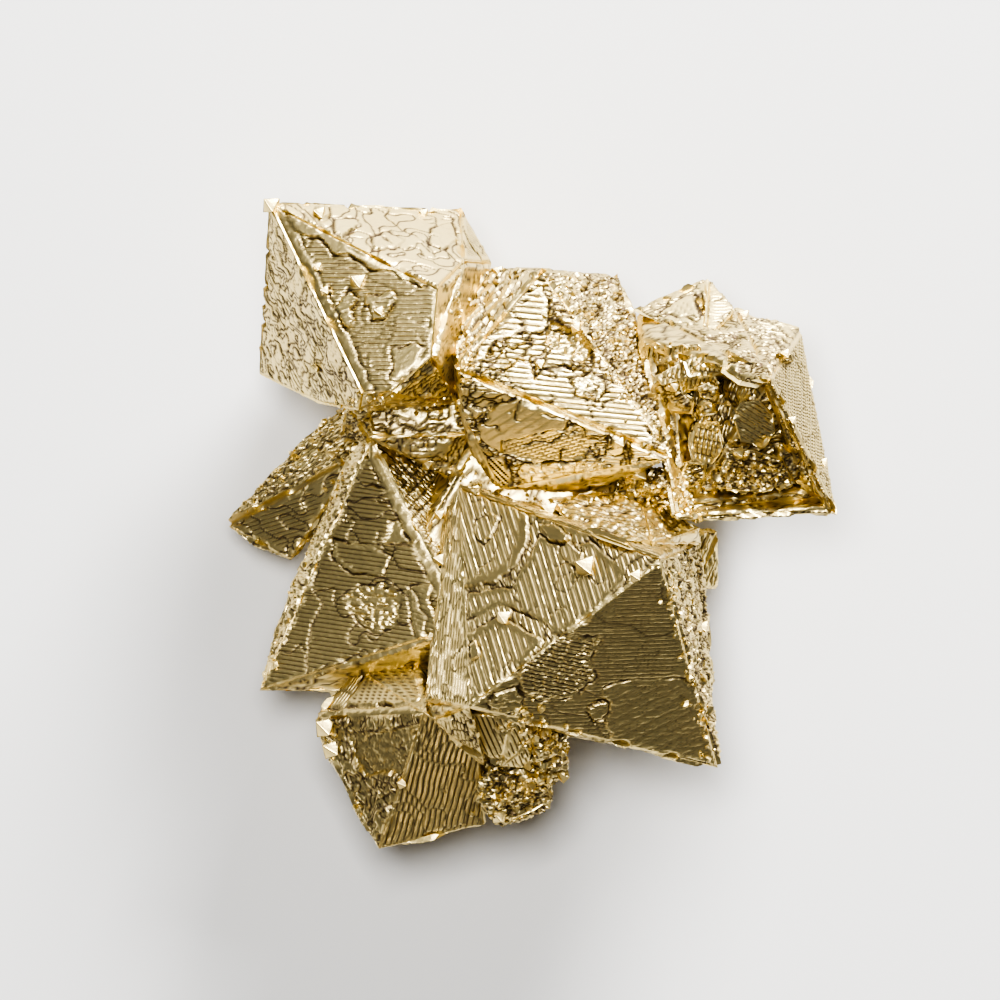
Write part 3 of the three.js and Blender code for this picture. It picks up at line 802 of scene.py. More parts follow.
def gold(name):
    """Native gold, with painted shade in its grooves."""
    finish = Finish(name)
    place = finish.add("ShaderNodeTexCoord")[3]
    groove = finish.add("ShaderNodeAttribute", {"attribute_name": "groove"})[2]
    clouds = finish.add(
        "ShaderNodeTexNoise", {}, {"Vector": place, "Scale": CLOUD_SCALE, "Detail": 4})[0]
    specks = finish.add(
        "ShaderNodeTexNoise", {}, {"Vector": place, "Scale": SPECK_SCALE, "Detail": 3})[0]
    warm = finish.add(
        "ShaderNodeMix", {"data_type": "RGBA"}, {0: clouds * 0.7, 6: GOLD, 7: DEEP_GOLD})[2]
    # Painted shade: the grooves are darkened by their depth.
    colour = finish.add(
        "ShaderNodeMix", {"data_type": "RGBA"}, {0: groove * 0.94, 6: warm, 7: GROOVE_SHADE})[2]
    bump = finish.add(
        "ShaderNodeBump", {}, {"Strength": 0.55, "Distance": 0.03 * MM, "Height": specks})[0]
    finish.set(
        Base_Color=colour, Metallic=1.0, Roughness=0.28 + 0.14 * clouds + 0.2 * groove, Normal=bump)
    return finish.material


NATIVE_GOLD = gold("native_gold")

# %% [markdown]
# ## The upper left crystal
#
# Its long front face is the most regularly striped of all, with a smooth band down its left
# edge and a few plates in its middle. The face above it is nearly smooth, but for a few grooves,
# and catches the light. The one on its left is softly rough.

# %% Upper left crystal
UPPER_LEFT_PLATES = (
    Plate(((-12.2, 15.4), (-12.7, 14.6), (-13.2, 14.2), (-12.8, 13.6), (-12.0, 12.9), (-11.8, 13.5),
           (-11.9, 14.2), (-11.5, 14.9)), 0.12, stripe=0.02),
    Plate(((-11.1, 14.4), (-10.7, 14.5), (-10.6, 13.4), (-9.8, 13.5), (-9.2, 14.5), (-9.0, 15.1),
           (-9.5, 15.4), (-10.1, 14.9), (-11.0, 15.1)), 0.14, pitch=0.3),
    Plate(((-9.3, 11.5), (-7.6, 11.8), (-7.1, 11.5), (-7.6, 10.5), (-8.7, 9.3), (-9.3, 9.4),
           (-9.1, 10.4)), 0.10, stripe=0),
    Plate(((-14.3, 15.5), (-13.3, 15.5), (-13.4, 15.1), (-14.1, 14.6), (-14.3, 15.1)), 0.22,
          stripe=0),
    Plate(((-17.2, 21.2), (-14.5, 20.2), (-12.0, 19.0), (-9.5, 17.8), (-6.2, 16.0), (-7.4, 15.6),
           (-9.2, 16.6), (-10.6, 16.8), (-11.8, 17.7), (-13.1, 17.9), (-14.1, 18.9), (-15.6, 19.3)),
          0.16, stripe=0),
)
UPPER_LEFT_TOP_PLATES = (
    Plate(((-13.2, 20.1), (-11.6, 20.2), (-11.5, 19.8), (-12.1, 19.3), (-12.7, 18.8),
           (-13.2, 19.3)), 0.16, stripe=0),
    Plate(((-10.6, 19.0), (-9.4, 19.2), (-8.6, 18.7), (-9.2, 18.1), (-10.4, 18.2)), 0.14, stripe=0),
    Plate(((-6.6, 19.6), (-5.4, 20.0), (-4.9, 18.8), (-5.9, 18.2), (-6.9, 18.6)), 0.14, stripe=0),
    Plate(((-14.3, 20.9), (-13.6, 20.9), (-13.5, 20.3), (-14.0, 20.1), (-14.4, 20.4)), 0.35,
          stripe=0),
)
UPPER_LEFT_FACES = [
    (("tip", "foot", "front"), dict(
        pitch=0.3, stripe=0.045, whole=0.8, layer=0.03, rim=0.2, worm=0.04, crawl=4.0,
        plates=UPPER_LEFT_PLATES + (band(UPPER_LEFT, "tip", "foot", 0.75),))),
    (("tip", "front", "top_right"), dict(
        along=(1, 0.1), pitch=0.5, whole=-0.8, layer=0.06, spread=4.0, worm=0.08, crawl=4.0,
        rim=0.1, plates=UPPER_LEFT_TOP_PLATES)),
    (("tip", "left", "foot"), dict(
        along=(0.5, -1), pitch=0.4, stripe=0.03, whole=-0.2, layer=0.05, spread=2.0, grain=0.07,
        coarse=0.7)),
    (("top_right", "top_front", "shoulder"), dict(pitch=0.3, whole=0.5)),
    (("foot_right", "front_low", "side_low"), dict(
        along=(0.8, 0.6), pitch=0.5, whole=0.0, grain=0.15, coarse=0.9, layer=0.12, spread=1.6)),
]
grow("crystal_upper_left", UPPER_LEFT, UPPER_LEFT_FACES, 100)

# %% [markdown]
# ## The upper middle crystal
#
# Its left face is thick ropes of growth, its front is striped across and broken by two steps,
# its right face is rough and sparkling, and the one below carries a smooth leaf-shaped plateau
# over a cross-hatched band.

# %% Upper middle crystal
FRONT_STEPS = (
    Plate(((-2.6, 9.3), (-0.9, 10.8), (0.1, 10.4), (0.1, 9.3), (0.6, 9.9), (2.2, 10.2), (4.5, 9.3),
           (6.3, 8.9), (7.6, 6.6), (8.6, 3.6), (6.6, 4.2), (4.8, 4.9), (2.4, 5.9), (1.2, 6.4),
           (-0.7, 7.3), (-1.8, 7.8)), 0.40, (1, -0.1), 0.34, 0.08, 0.15),
    Plate(((-1.7, 14.3), (0.4, 15.6), (1.2, 14.9), (0.9, 13.9), (1.2, 13.0), (0.4, 12.5),
           (-0.4, 12.8), (-2.5, 12.0), (-3.2, 10.9), (-4.1, 10.4), (-3.1, 12.1), (-2.2, 13.0)),
          0.14, (1, -0.1), 0.4, 0.09, 0.12),
    Plate(((1.3, 13.4), (3.2, 12.6), (4.1, 11.3), (3.4, 10.6), (1.9, 11.0), (0.9, 11.9)), -0.12,
          (1, 0.5), 0.3, 0.03, 0.1, worm=0.1),
    Plate(((2.6, 9.4), (4.0, 9.9), (5.0, 9.0), (4.4, 8.0), (2.9, 8.3)), 0.5, (1, 0.5), 0.3, 0.02,
          0.1, worm=0.08),
)
LEAF_PLATES = (
    Plate(((-1.9, 5.4), (-1.2, 5.6), (1.2, 6.0), (2.7, 6.6), (3.7, 6.2), (3.9, 5.3), (3.5, 4.2),
           (1.7, 4.1), (-0.5, 4.2), (-1.8, 4.6)), 0.06, (1, 0.3), 0.22, 0.035, 0.1, hatch=True),
    Plate(((-3.5, 6.6), (-3.0, 7.2), (-1.8, 8.0), (-0.5, 8.5), (0.6, 8.1), (1.7, 7.6), (2.6, 6.9),
           (2.2, 6.4), (1.2, 6.2), (0, 5.9), (-1.2, 5.7), (-1.9, 5.6), (-1.8, 4.8), (-2.7, 5.1),
           (-3.4, 5.8)), 0.3, (1, 0.6), 0.5, 0.015),
    Plate(((5.2, 5.8), (5.5, 6.2), (6.2, 5.5), (6.3, 4.9), (5.5, 4.5), (5.0, 5.0)), 0.24, stripe=0),
    Plate(((-0.5, 4.0), (1.9, 4.0), (4.9, 4.1), (5.0, 3.3), (3.0, 2.8), (1.2, 2.2), (0, 2.2),
           (-0.9, 3.3)), 0.14, stripe=0.01, worm=0.08),
    Plate(((-3.9, 5.1), (-3.1, 4.9), (-1.8, 4.1), (-1.3, 2.7), (-1.8, 2.0), (-3.0, 3.0),
           (-3.9, 3.9)), 0.06, (1, -1), 0.3, 0.08, 0.1),
)
UPPER_MIDDLE_FACES = [
    (("top", "left", "right"), dict(
        along=(1, -0.1), pitch=0.38, stripe=0.09, whole=0.4, wander=0.05, layer=0.18, spread=2.6,
        rim=0.1, worm=0.09, crawl=2.2, plates=FRONT_STEPS)),
    (("top", "top_left", "left"), dict(
        along=(0.62, 0.78), pitch=0.85, stripe=0.28, whole=0.9, wander=0.3, layer=0.14, spread=2.6,
        rim=0.03)),
    (("top", "right", "shoulder"), dict(
        grain=0.22, coarse=0.5, stripe=0.04, whole=-0.3, layer=0.12, spread=1.6, worm=0.1,
        crawl=1.1, rim=0.03)),
    (("left", "bottom", "right"), dict(
        along=(1, -0.1), pitch=0.26, stripe=0.04, whole=0.1, layer=0.12, spread=2.0, worm=0.09,
        crawl=2.2, rim=0.1, plates=LEAF_PLATES)),
]
grow("crystal_upper_middle", UPPER_MIDDLE, UPPER_MIDDLE_FACES, 200)

# %% [markdown]
# ## The right-hand crystal and the peak behind it
#
# Its edges outgrew two of its faces and left one stepped hollow, as in a crystal of salt or
# bismuth. Insetting the faces again and again, each time a little deeper, makes the same steps.
# Slabs and lumps that grew in the hollow later break them up.

# %% Right-hand crystal
RIGHT_FACES = [
    (("near", "bottom_right", "top_right"), dict(
        along=(0.5, -1), pitch=0.34, stripe=0.10, whole=0.9, hatch=True, layer=0.03, rim=0.1)),
    (("near", "top_right", "top_left"), dict(
        along=(1, -0.15), pitch=0.32, stripe=0.05, whole=0.1, layer=0.1, spread=1.8, worm=0.07,
        crawl=1.5)),
    (("near", "bottom_left", "bottom_right"), dict(
        along=(1, 0.1), grain=0.12, coarse=0.8, whole=-0.4, layer=0.12, spread=1.8, rim=0.02,
        worm=0.05)),
    (("top_left", "near", "bottom_left"), dict(
        along=(0.3, 1), pitch=0.32, stripe=0.06, grain=0.1, coarse=0.8, whole=0.2, layer=0.12,
        spread=1.6, rim=0.02)),
]
HOLLOW_FACES = (("top_left", "near", "bottom_left"), ("near", "bottom_left", "bottom_right"))
HOLLOW_STEPS = ((0.4, 0.0), (0.2, 1.2), (0.5, 0.0), (0.2, 1.2))     # how far in, and how deep


def hollow_out(work):
    """Step one hollow into the two faces that outgrew their middle."""
    outward = [face_normal(RIGHT, names) for names in HOLLOW_FACES]
    faces = [max(work.faces, key=lambda part: part.normal.dot(way)) for way in outward]
    for inset, depth in HOLLOW_STEPS:
        bmesh.ops.inset_region(
            work, faces=faces, thickness=inset, depth=-depth, use_boundary=True,
            use_even_offset=True)


grow("crystal_right", RIGHT, RIGHT_FACES, 300, hollow_out)


# %% [markdown]
# Each slab in the hollow is drawn from above, given the height of its middle and the way its
# top slopes, and made as thick as the hollow is deep.

# %% Slabs in the hollow
Slab = namedtuple("Slab", "outline height slope thick look")
LUMP = dict(
    LOOK, pitch=0.3, stripe=0.06, whole=0.2, wander=0.1, layer=0.06, spread=1.2, rim=0.04,
    sunk=0.02, grain=0.12, coarse=0.4)
RIBBED = dict(
    LUMP, along=(0.15, 1), stripe=0.12, whole=0.9, grain=0.01, wander=0.02, layer=0.01, spread=6.0)
CHECKED = dict(RIBBED, hatch=True, pitch=0.34, stripe=0.09)
SATIN = dict(LUMP, whole=-0.8, grain=0.03, layer=0.08, worm=0.05, crawl=1.4)
GRAINY = dict(LUMP, whole=-0.3, grain=0.4, coarse=0.5)
SLABS = [
    Slab(((7.5, 11.7), (8.3, 12.0), (9.3, 11.6), (8.9, 10.7), (7.7, 10.3)), 14.5, (0.2, 0.3), 3.0,
         RIBBED),
    Slab(((8.9, 11.8), (11.2, 11.9), (11.4, 11.1), (9.6, 10.6), (9.0, 11.0)), 16.3, (0.3, 0.4), 3.0,
         RIBBED),
    Slab(((8.2, 9.7), (9.8, 10.4), (10.3, 10.9), (11.0, 10.5), (10.2, 9.6), (8.7, 9.1)),
         16.2, (0.3, -0.3), 3.0, CHECKED),
    Slab(((10.2, 10.7), (11.5, 11.2), (13.6, 11.0), (13.2, 10.0), (11.2, 9.5), (10.5, 9.8)),
         17.9, (0.3, -0.3), 3.0, CHECKED),
    Slab(((8.1, 9.1), (9.0, 9.5), (10.9, 8.2), (10.7, 7.3), (9.4, 7.4), (8.6, 7.7)), 15.6,
         (0.6, 0.5), 3.0, SATIN),
    Slab(((9.2, 9.5), (10.5, 9.8), (12.2, 9.8), (12.6, 9.2), (12.2, 8.9), (10.2, 8.7)),
         17.0, (0.5, 0.3), 3.0, RIBBED),
    Slab(((11.0, 9.0), (11.8, 9.4), (12.5, 8.9), (12.2, 8.2), (11.3, 8.2)), 17.6, (0.1, 0.4), 3.0,
         SATIN),
    Slab(((11.0, 7.9), (12.1, 8.1), (12.3, 7.3), (11.4, 7.1)), 17.3, (0.1, 0.4), 3.0, SATIN),
    Slab(((12.9, 10.9), (15.8, 10.6), (16.0, 9.8), (14.9, 9.0), (13.9, 9.2), (12.8, 10.0)),
         20.6, (0.4, -0.7), 3.0, SATIN),
    Slab(((16.3, 11.2), (17.3, 11.3), (17.5, 10.7), (16.6, 10.5)), 17.6, (0.1, 0.5), 2.0, SATIN),
    Slab(((11.0, 6.6), (12.5, 6.7), (12.8, 4.9), (12.0, 3.9), (10.7, 4.2), (10.5, 5.4)),
         17.4, (0.5, 0.1), 3.0, CHECKED),
    Slab(((10.4, 4.1), (11.6, 4.0), (11.5, 2.8), (10.3, 2.1), (9.9, 3.2)), 17.3, (0.5, 0.2), 3.0,
         GRAINY),
    Slab(((13.3, 7.2), (13.9, 8.0), (15.1, 8.2), (16.1, 7.2), (16.3, 6.0), (15.4, 5.1),
          (13.9, 5.3)), 18.6, (-0.2, 0.4), 3.0, dict(RIBBED, along=(1, -0.6), stripe=0.05)),
    Slab(((13.0, 4.6), (14.6, 4.9), (16.8, 4.2), (17.6, 2.6), (14.5, 2.0), (12.2, 2.3)),
         17.4, (-0.2, 0.3), 2.4, GRAINY),
    Slab(((16.6, 5.4), (17.5, 4.6), (18.4, 2.8), (17.3, 2.7), (16.4, 4.3)), 16.4, (-0.5, 0.3), 2.4,
         SATIN),
]
TAPER = 0.9                     # width of a slab's foot, as a share of its top


def slab_corners(slab):
    """The corners of a slab: its outline at the top, and a smaller one under it."""
    middle_x = sum(x for x, _ in slab.outline) / len(slab.outline)
    middle_y = sum(y for _, y in slab.outline) / len(slab.outline)
    corners = {}
    for number, (x, y) in enumerate(slab.outline):
        east, north = x - middle_x, y - middle_y
        top = slab.height + slab.slope[0] * east + slab.slope[1] * north
        corners["top", number] = (x, y, top)
        corners["foot", number] = (
            middle_x + east * TAPER, middle_y + north * TAPER, top - slab.thick)
    return corners


slab_sheets = []
for number, slab in enumerate(SLABS):
    slab_sheets += dress(slab_corners(slab), [], 350 + number, plain=slab.look)
CRYSTALS.append(keep(close_up(slab_sheets, 0.04), "hollow_slabs"))

# %% [markdown]
# A smaller crystal peeps out behind. Its front carries a striped plate, a thin rod and a slot,
# which is a plate with a lift below zero.

# %% Peak behind the right-hand crystal
PEAK_PLATES = (
    Plate(((8.3, 13.8), (10.1, 15.0), (10.8, 15.2), (11.3, 13.6), (10.3, 13.4)), 0.12, (0.4, 1),
          0.3, 0.03),
    Plate(((11.0, 15.2), (11.35, 15.3), (11.9, 14.0), (11.55, 13.85)), -0.45, stripe=0),
    Plate(((8.5, 13.85), (8.6, 13.5), (10.7, 13.15), (10.8, 13.45)), 0.14, stripe=0),
)
PEAK_FACES = [
    (("apex", "left", "front"), dict(
        whole=0.4, stripe=0.04, worm=0.07, crawl=2.0, plates=PEAK_PLATES)),
    (("apex", "right", "front"), dict(whole=0.4, stripe=0.04, worm=0.07, crawl=2.0)),
]
grow("crystal_right_peak", RIGHT_PEAK, PEAK_FACES, 400)

# %% [markdown]
# ## The lower right crystal
#
# The largest face carries striped plates with smooth borders, one over the other. The face below
# is smoother, with a ledge across it, and the right-hand face is crusted.

# %% Lower right crystal
STRIPE_WAY = (0.29, -0.96)
LOWER_RIGHT_PLATES = (
    Plate(((0.5, -0.8), (2.1, -1.6), (3.9, -1.2), (5.9, -3.0), (6.1, -3.8), (4.5, -5.6),
           (2.9, -6.8), (1.8, -7.4), (0.5, -6.4), (-1.0, -5.7), (-2.2, -5.4), (-4.3, -6.5),
           (-4.2, -4.7), (-1.3, -4.2), (-0.1, -2.4)), 0.07, STRIPE_WAY, 0.40, 0.06, 0.2),
    Plate(((-5.8, 3.2), (-3.0, 2.6), (-0.6, 1.6), (-0.2, 0.4), (-0.2, -1.1), (-0.9, -2.7),
           (-2.4, -4.0), (-4.3, -4.4), (-5.6, -4.0)), 0.14, STRIPE_WAY, 0.40, 0.06, 0.5),
    Plate(((-5.4, -7.3), (-3.8, -7.2), (-2.3, -6.3), (-1.0, -6.8), (0.8, -7.8), (0.2, -8.6),
           (-1.2, -10.4), (-3.0, -11.6), (-5.4, -12.5)), 0.14, STRIPE_WAY, 0.40, 0.06, 0.35),
    Plate(((0.6, -0.2), (1.5, -0.1), (2.5, -0.8), (2.2, -1.3), (1.3, -1.2)), 0.22, stripe=0),
    Plate(((-3.6, 0.1), (-2.7, 0.6), (-2.1, 0.2), (-2.5, -0.9), (-3.2, -1.4), (-3.7, -0.8)),
          0.20, STRIPE_WAY, 0.40, 0.06, 0.05),
    Plate(((-4.1, -8.2), (-3.7, -7.8), (-3.3, -8.5), (-3.4, -9.0), (-3.9, -9.2)), 0.24, stripe=0),
    Plate(((1.9, -1.6), (2.4, -1.3), (3.4, -2.0), (3.2, -3.0), (2.2, -2.6)), 0.16, STRIPE_WAY, 0.3,
          0.04, 0.1),
)
LOWER_FACE_PLATES = (
    Plate(((4.7, -11.2), (5.7, -10.5), (7.9, -10.3), (10.1, -10.4), (11.1, -11.3), (12.3, -16.2),
           (5.3, -14.6), (4.9, -12.9)), 0.12, (1, 0.5), 0.6, 0.01, 0.3),
    Plate(((-2.9, -12.0), (-2.3, -11.3), (-1.0, -10.9), (-0.5, -11.6), (-0.9, -12.5),
           (-2.2, -12.9)), 0.14, stripe=0, worm=0.06),
    Plate(((3.7, -12.5), (4.5, -11.8), (5.1, -12.0), (5.0, -12.6), (4.1, -13.2)), 0.2, stripe=0),
    Plate(((-0.3, -8.9), (1.3, -7.8), (2.9, -7.4), (4.5, -7.6), (3.9, -8.9), (4.2, -10.0),
           (3.1, -11.2), (2.1, -11.6), (0.5, -11.8), (-0.7, -11.0), (-0.9, -10.0)), 0.10, (1, -0.2),
          0.26, 0.03, 0.1, worm=0.08),
)
LOWER_RIGHT_FACES = [
    (("near", "left", "bottom_left"), dict(
        along=STRIPE_WAY, pitch=0.40, stripe=0.06, whole=0.8, layer=0.05, spread=5.0, rim=0.15,
        worm=0.06, crawl=3.4, plates=LOWER_RIGHT_PLATES)),
    (("near", "bottom_left", "bottom_right"), dict(
        along=(1, 0.03), pitch=0.3, stripe=0.02, whole=0.3, layer=0.04, spread=9.0, rim=0.2,
        grain=0.03, coarse=0.5, plates=LOWER_FACE_PLATES)),
    (("near", "bottom_right", "top_right"), dict(
        grain=0.3, coarse=0.6, stripe=0.04, whole=-0.5, layer=0.1, spread=1.6, rim=0.02, worm=0.08,
        crawl=1.0)),
    (("left", "near", "top_right"), dict(
        along=(0.95, -0.3), pitch=0.4, stripe=0.05, whole=-0.2, layer=0.08, spread=2.0)),
    (("left", "strip_high", "strip_low"), dict(
        along=(0.1, 1), pitch=0.34, stripe=0.09, whole=0.9, wander=0.06, layer=0.03, rim=0.05)),
]
grow("crystal_lower_right", LOWER_RIGHT, LOWER_RIGHT_FACES, 500)

RIDGE_SHIFT = Vector((0.20, 0.23, -0.16))       # from the ridge to the back of its smooth bevel
RIDGE_LIFT = Vector((0, 0, 0.05))               # how far its front edge stands over the ridge
RIDGE_THICK = Vector((0, 0, 0.6))
RIDGE_ENDS = {name: Vector(LOWER_RIGHT[name]) + RIDGE_LIFT for name in ("left", "near")}
RIDGE = {name: tuple(end) for name, end in RIDGE_ENDS.items()}
RIDGE.update({f"{name}_back": tuple(end + RIDGE_SHIFT) for name, end in RIDGE_ENDS.items()})
RIDGE.update({f"{name}_under": tuple(end - RIDGE_THICK) for name, end in RIDGE_ENDS.items()})
grow("ridge", RIDGE, [], 560, plain=dict(LOOK, whole=-0.9, layer=0.03, rim=0.0, sunk=0.0))

# %% [markdown]
# Growth went on behind and under this crystal. Layers, a block, a foot and the worn end of its
# left-hand strip are crystals in their own right, so each is grown round its own few corners.

# %% Layers and blocks on the lower right crystal
LAYER_FACES = [
    (("left", "top", "front_left"), dict(
        along=(1, -0.2), pitch=0.4, stripe=0.05, whole=0.2, rim=0.1, grain=0.16, coarse=0.8)),
    (("top", "right", "front"), dict(
        along=(1, -0.2), pitch=0.4, stripe=0.04, whole=-0.2, rim=0.1, grain=0.2, coarse=0.7)),
]
grow("lower_right_layer", LOWER_RIGHT_LAYER, LAYER_FACES, 600, lumps=0.12)
BLOCK_FACES = [
    (("front_top", "outer_top", "outer_low"), dict(
        along=(0.4, 1), pitch=0.32, stripe=0.08, grain=0.1)),
]
grow("lower_right_block", LOWER_RIGHT_BLOCK, BLOCK_FACES, 640, lumps=0.1)
FOOT_FACES = [
    (("left", "right", "low"), dict(
        along=(0.4, -0.9), pitch=0.34, stripe=0.08, whole=0.9, layer=0.02, rim=0.05)),
]
grow("lower_foot", LOWER_FOOT, FOOT_FACES, 680, plain=dict(LOOK, **FOOT_FACES[0][1]))
STRIP_END_FACES = [
    (("top", "left", "low"), dict(
        along=(0.2, -0.9), pitch=0.34, stripe=0.07, whole=0.4, worm=0.08, grain=0.1)),
]
grow("strip_end", STRIP_END, STRIP_END_FACES, 690)

# %% [markdown]
# ## The left-hand crystals and the saddle
#
# The lower left crystal has a broad, faintly striped face and a sparkling one that faces up and
# right. A smaller one stands out at the far left. A wrinkled saddle and a neck join them to the
# crystal above.

# %% Left-hand crystals and saddle
LOWER_LEFT_PLATES = (
    Plate(((-9.3, 0.1), (-8.0, 0.2), (-7.8, -0.8), (-8.0, -1.4), (-9.8, -1.3), (-9.5, -0.7)), -0.08,
          stripe=0),
    Plate(((-12.4, -4.8), (-11.4, -4.3), (-9.7, -4.1), (-8.7, -4.8), (-8.8, -6.2), (-9.3, -7.1),
           (-10.6, -7.2), (-11.5, -6.5), (-12.1, -5.8)), 0.06, stripe=0.01, worm=0.09),
    Plate(((-13.2, -1.1), (-12.1, -1.4), (-10.6, -1.6), (-9.4, -2.2), (-9.8, -3.4), (-11.4, -3.5),
           (-12.4, -3.1), (-13.2, -2.3)), 0.08, (1, -0.14), 0.30, 0.04, 0.15),
    Plate(((-8.1, -4.3), (-6.7, -4.1), (-6.9, -5.2), (-6.5, -6.2), (-6.0, -7.5), (-7.5, -7.8),
           (-8.0, -6.2)), 0.12, (1, -0.3), 0.34, 0.03, 0.2),
)
LOWER_LEFT_FACES = [
    (("apex", "tip", "near"), dict(
        along=(1, -0.14), pitch=0.30, stripe=0.04, whole=0.9, layer=0.05, rim=0.15,
        worm=0.06, crawl=3.6, plates=LOWER_LEFT_PLATES + (band(LOWER_LEFT, "apex", "near", 0.7),))),
    (("apex", "near", "right"), dict(
        along=(1, -1), grain=0.2, coarse=0.5, pitch=0.32, stripe=0.07, whole=0.4, hatch=True,
        layer=0.08, rim=0.02)),
    (("edge_high", "edge_middle", "tip"), dict(grain=0.25, coarse=0.5, rim=0.03, whole=-0.5)),
]
grow("crystal_lower_left", LOWER_LEFT, LOWER_LEFT_FACES, 700)
FAR_LEFT_FACES = [
    (("tip", "bottom", "near"), dict(
        along=(1, 0.3), pitch=0.28, stripe=0.035, whole=0.5, layer=0.06, spread=4.0, worm=0.06,
        crawl=2.4)),
    (("tip", "near", "upper_middle"), dict(
        along=(1, 0.7), grain=0.26, coarse=0.6, rim=0.03, worm=0.06)),
]
grow("crystal_far_left", FAR_LEFT, FAR_LEFT_FACES, 760)
WRINKLED = dict(
    along=(1, 0.05), pitch=0.5, stripe=0.05, wander=0.4, whole=0.1, grain=0.03, coarse=0.9,
    rim=0.03, layer=0.10, spread=1.8)
SADDLE_TOP = dict(              # up to 2 mm higher than in the solid
    SADDLE, back_left=(-11.3, 8.8, 14.4), back_right=(-4.6, 8.4, 14.0),
    front_left=(-10.8, 5.7, 14.7), front_right=(-4.2, 5.9, 14.3))
SADDLE_FACES = [
    (("back_left", "back_right", "front_left"), WRINKLED),
    (("front_left", "front_right", "low"), WRINKLED),
]
grow("saddle", SADDLE_TOP, SADDLE_FACES, 800, lumps=0.06)
NECK_FACES = [
    (("top_left", "top_right", "low_left"), WRINKLED),
    (("top_right", "low_right", "low_left"), WRINKLED),
]
grow("neck", NECK, NECK_FACES, 820, lumps=0.25)

# %% [markdown]
# ## The bottom crystal and its crust
#
# The lowest crystal has steep, fan-like grooves on its right and a rougher face on its left.
# Two crusted lumps sit where it meets the lower right crystal.

# %% Bottom crystal and crust
BOTTOM_TOP_PLATES = (
    Plate(((-10.3, -9.0), (-8.5, -8.9), (-7.7, -10.2), (-7.2, -11.7), (-8.8, -12.0), (-10.9, -12.1),
           (-12.2, -12.1), (-11.2, -10.4)), 0.06, (1, 0), 0.22, 0.04, 0.1),
)
BOTTOM_DARK = (
    Plate(((-12.2, -14.2), (-7.0, -13.4), (-6.5, -15.1), (-6.8, -16.1), (-7.8, -16.9),
           (-9.9, -16.7), (-11.2, -17.1), (-11.8, -15.8)), -0.10, (1, 0.2), 0.5, 0.015, 0.2,
          worm=0.04),
)
BOTTOM_FACES = [
    (("left", "near", "top_left"), dict(
        along=(0.6, 0.8), pitch=0.24, stripe=0.035, whole=0.8, layer=0.03, rim=0.2,
        plates=BOTTOM_TOP_PLATES + (band(BOTTOM, "left", "near", 0.5),))),
    (("near", "tip", "right"), dict(
        along=(0.25, 1), pitch=0.36, stripe=0.07, whole=0.8, wander=0.12, layer=0.03, spread=5.0,
        rim=0.05)),
    (("left", "tip", "near"), dict(
        along=(0.2, 1), pitch=0.4, stripe=0.03, whole=-0.5, layer=0.1, spread=1.8, worm=0.06,
        crawl=1.3, grain=0.06, plates=BOTTOM_DARK)),
]
grow("crystal_bottom", BOTTOM, BOTTOM_FACES, 840)
CRUST = dict(
    LOOK, grain=0.14, coarse=0.5, whole=-0.4, layer=0.1, spread=1.4, rim=0.02, sunk=0.0, worm=0.06,
    crawl=0.8)
CRUST_ROOT = dict(
    left=(-4.6, -13.4, 16.0), top=(-2.0, -13.0, 17.6), right=(2.4, -13.6, 16.8),
    low_right=(2.3, -16.8, 15.4), low=(-0.4, -19.2, 13.6), low_left=(-3.9, -18.0, 14.6),
    back=(-1.0, -14.0, 6.0),
)
grow("crust_root", CRUST_ROOT, [], 870, lumps=0.4, plain=CRUST)
grow("crust_high", CRUST_HIGH, [], 880, lumps=0.35, plain=CRUST)
grow("crust_low", CRUST_LOW, [], 900, lumps=0.35, plain=CRUST)
grow("gap_filler", GAP_FILLER, [], 920, lumps=0.35, plain=CRUST)

# %% [markdown]
# ## The crystals behind
#
# Seven more octahedra fill out the back and sides, and the cluster lies on a flat face of an
# eighth. Each starts as six corners on its axes, turned and placed.

# %% Crystals behind and below
BACK_CRYSTALS = [
    ((-10.6, 13.8, 8.2), 7.0, (20, 35, 10)), ((12.6, 7.2, 7.4), 6.8, (-25, 30, 40)),
    ((5.0, -9.0, 8.6), 7.4, (35, -20, 15)), ((-10.2, -8.4, 7.0), 6.6, (15, 40, -20)),
    ((-14.2, 2.0, 4.4), 3.9, (40, 10, 25)), ((1.2, 11.2, 7.0), 6.0, (-30, -25, 50)),
    ((-7.0, -16.0, 8.6), 5.2, (25, -35, 60)),
]
BASE_HALF = 12.4                # half a diagonal of the crystal underneath
BASE_CENTRE = (-0.6, 0.6)       # where its middle lies, across and along
FACE_TILT = math.acos(1 / math.sqrt(3))     # between an octahedron's face and its axis
AXES = dict(
    left=(-1, 0, 0), right=(1, 0, 0), front=(0, -1, 0), back=(0, 1, 0), low=(0, 0, -1),
    high=(0, 0, 1))


def turned(degrees):
    """A turn about X, then Y, then Z of the turned thing itself."""
    x, y, z = (math.radians(angle) for angle in degrees)
    return Matrix.Rotation(x, 3, "X") @ Matrix.Rotation(y, 3, "Y") @ Matrix.Rotation(z, 3, "Z")


def octahedron(half, turn, centre):
    """The six corners of an octahedron, turned and placed."""
    return {
        name: tuple(turn @ (Vector(way) * half) + Vector(centre)) for name, way in AXES.items()}


for number, (centre, half, degrees) in enumerate(BACK_CRYSTALS, 1):
    corners = octahedron(half, turned(degrees), centre)
    grow(f"crystal_behind_{number}", corners, [], 1000 + 50 * number)

half_turn, tip_over = Matrix.Rotation(math.pi, 3, "Z"), Matrix.Rotation(FACE_TILT, 3, "X")
turn = half_turn @ tip_over @ Matrix.Rotation(math.pi / 4, 3, "Z")
base = octahedron(BASE_HALF, turn, (*BASE_CENTRE, 0))
lowest = min(corner[2] for corner in base.values())
base = {name: (x, y, z - lowest) for name, (x, y, z) in base.items()}
grow("crystal_base", base, [], 1500, plain=dict(PLAIN, along=(0.8, 0.6)))

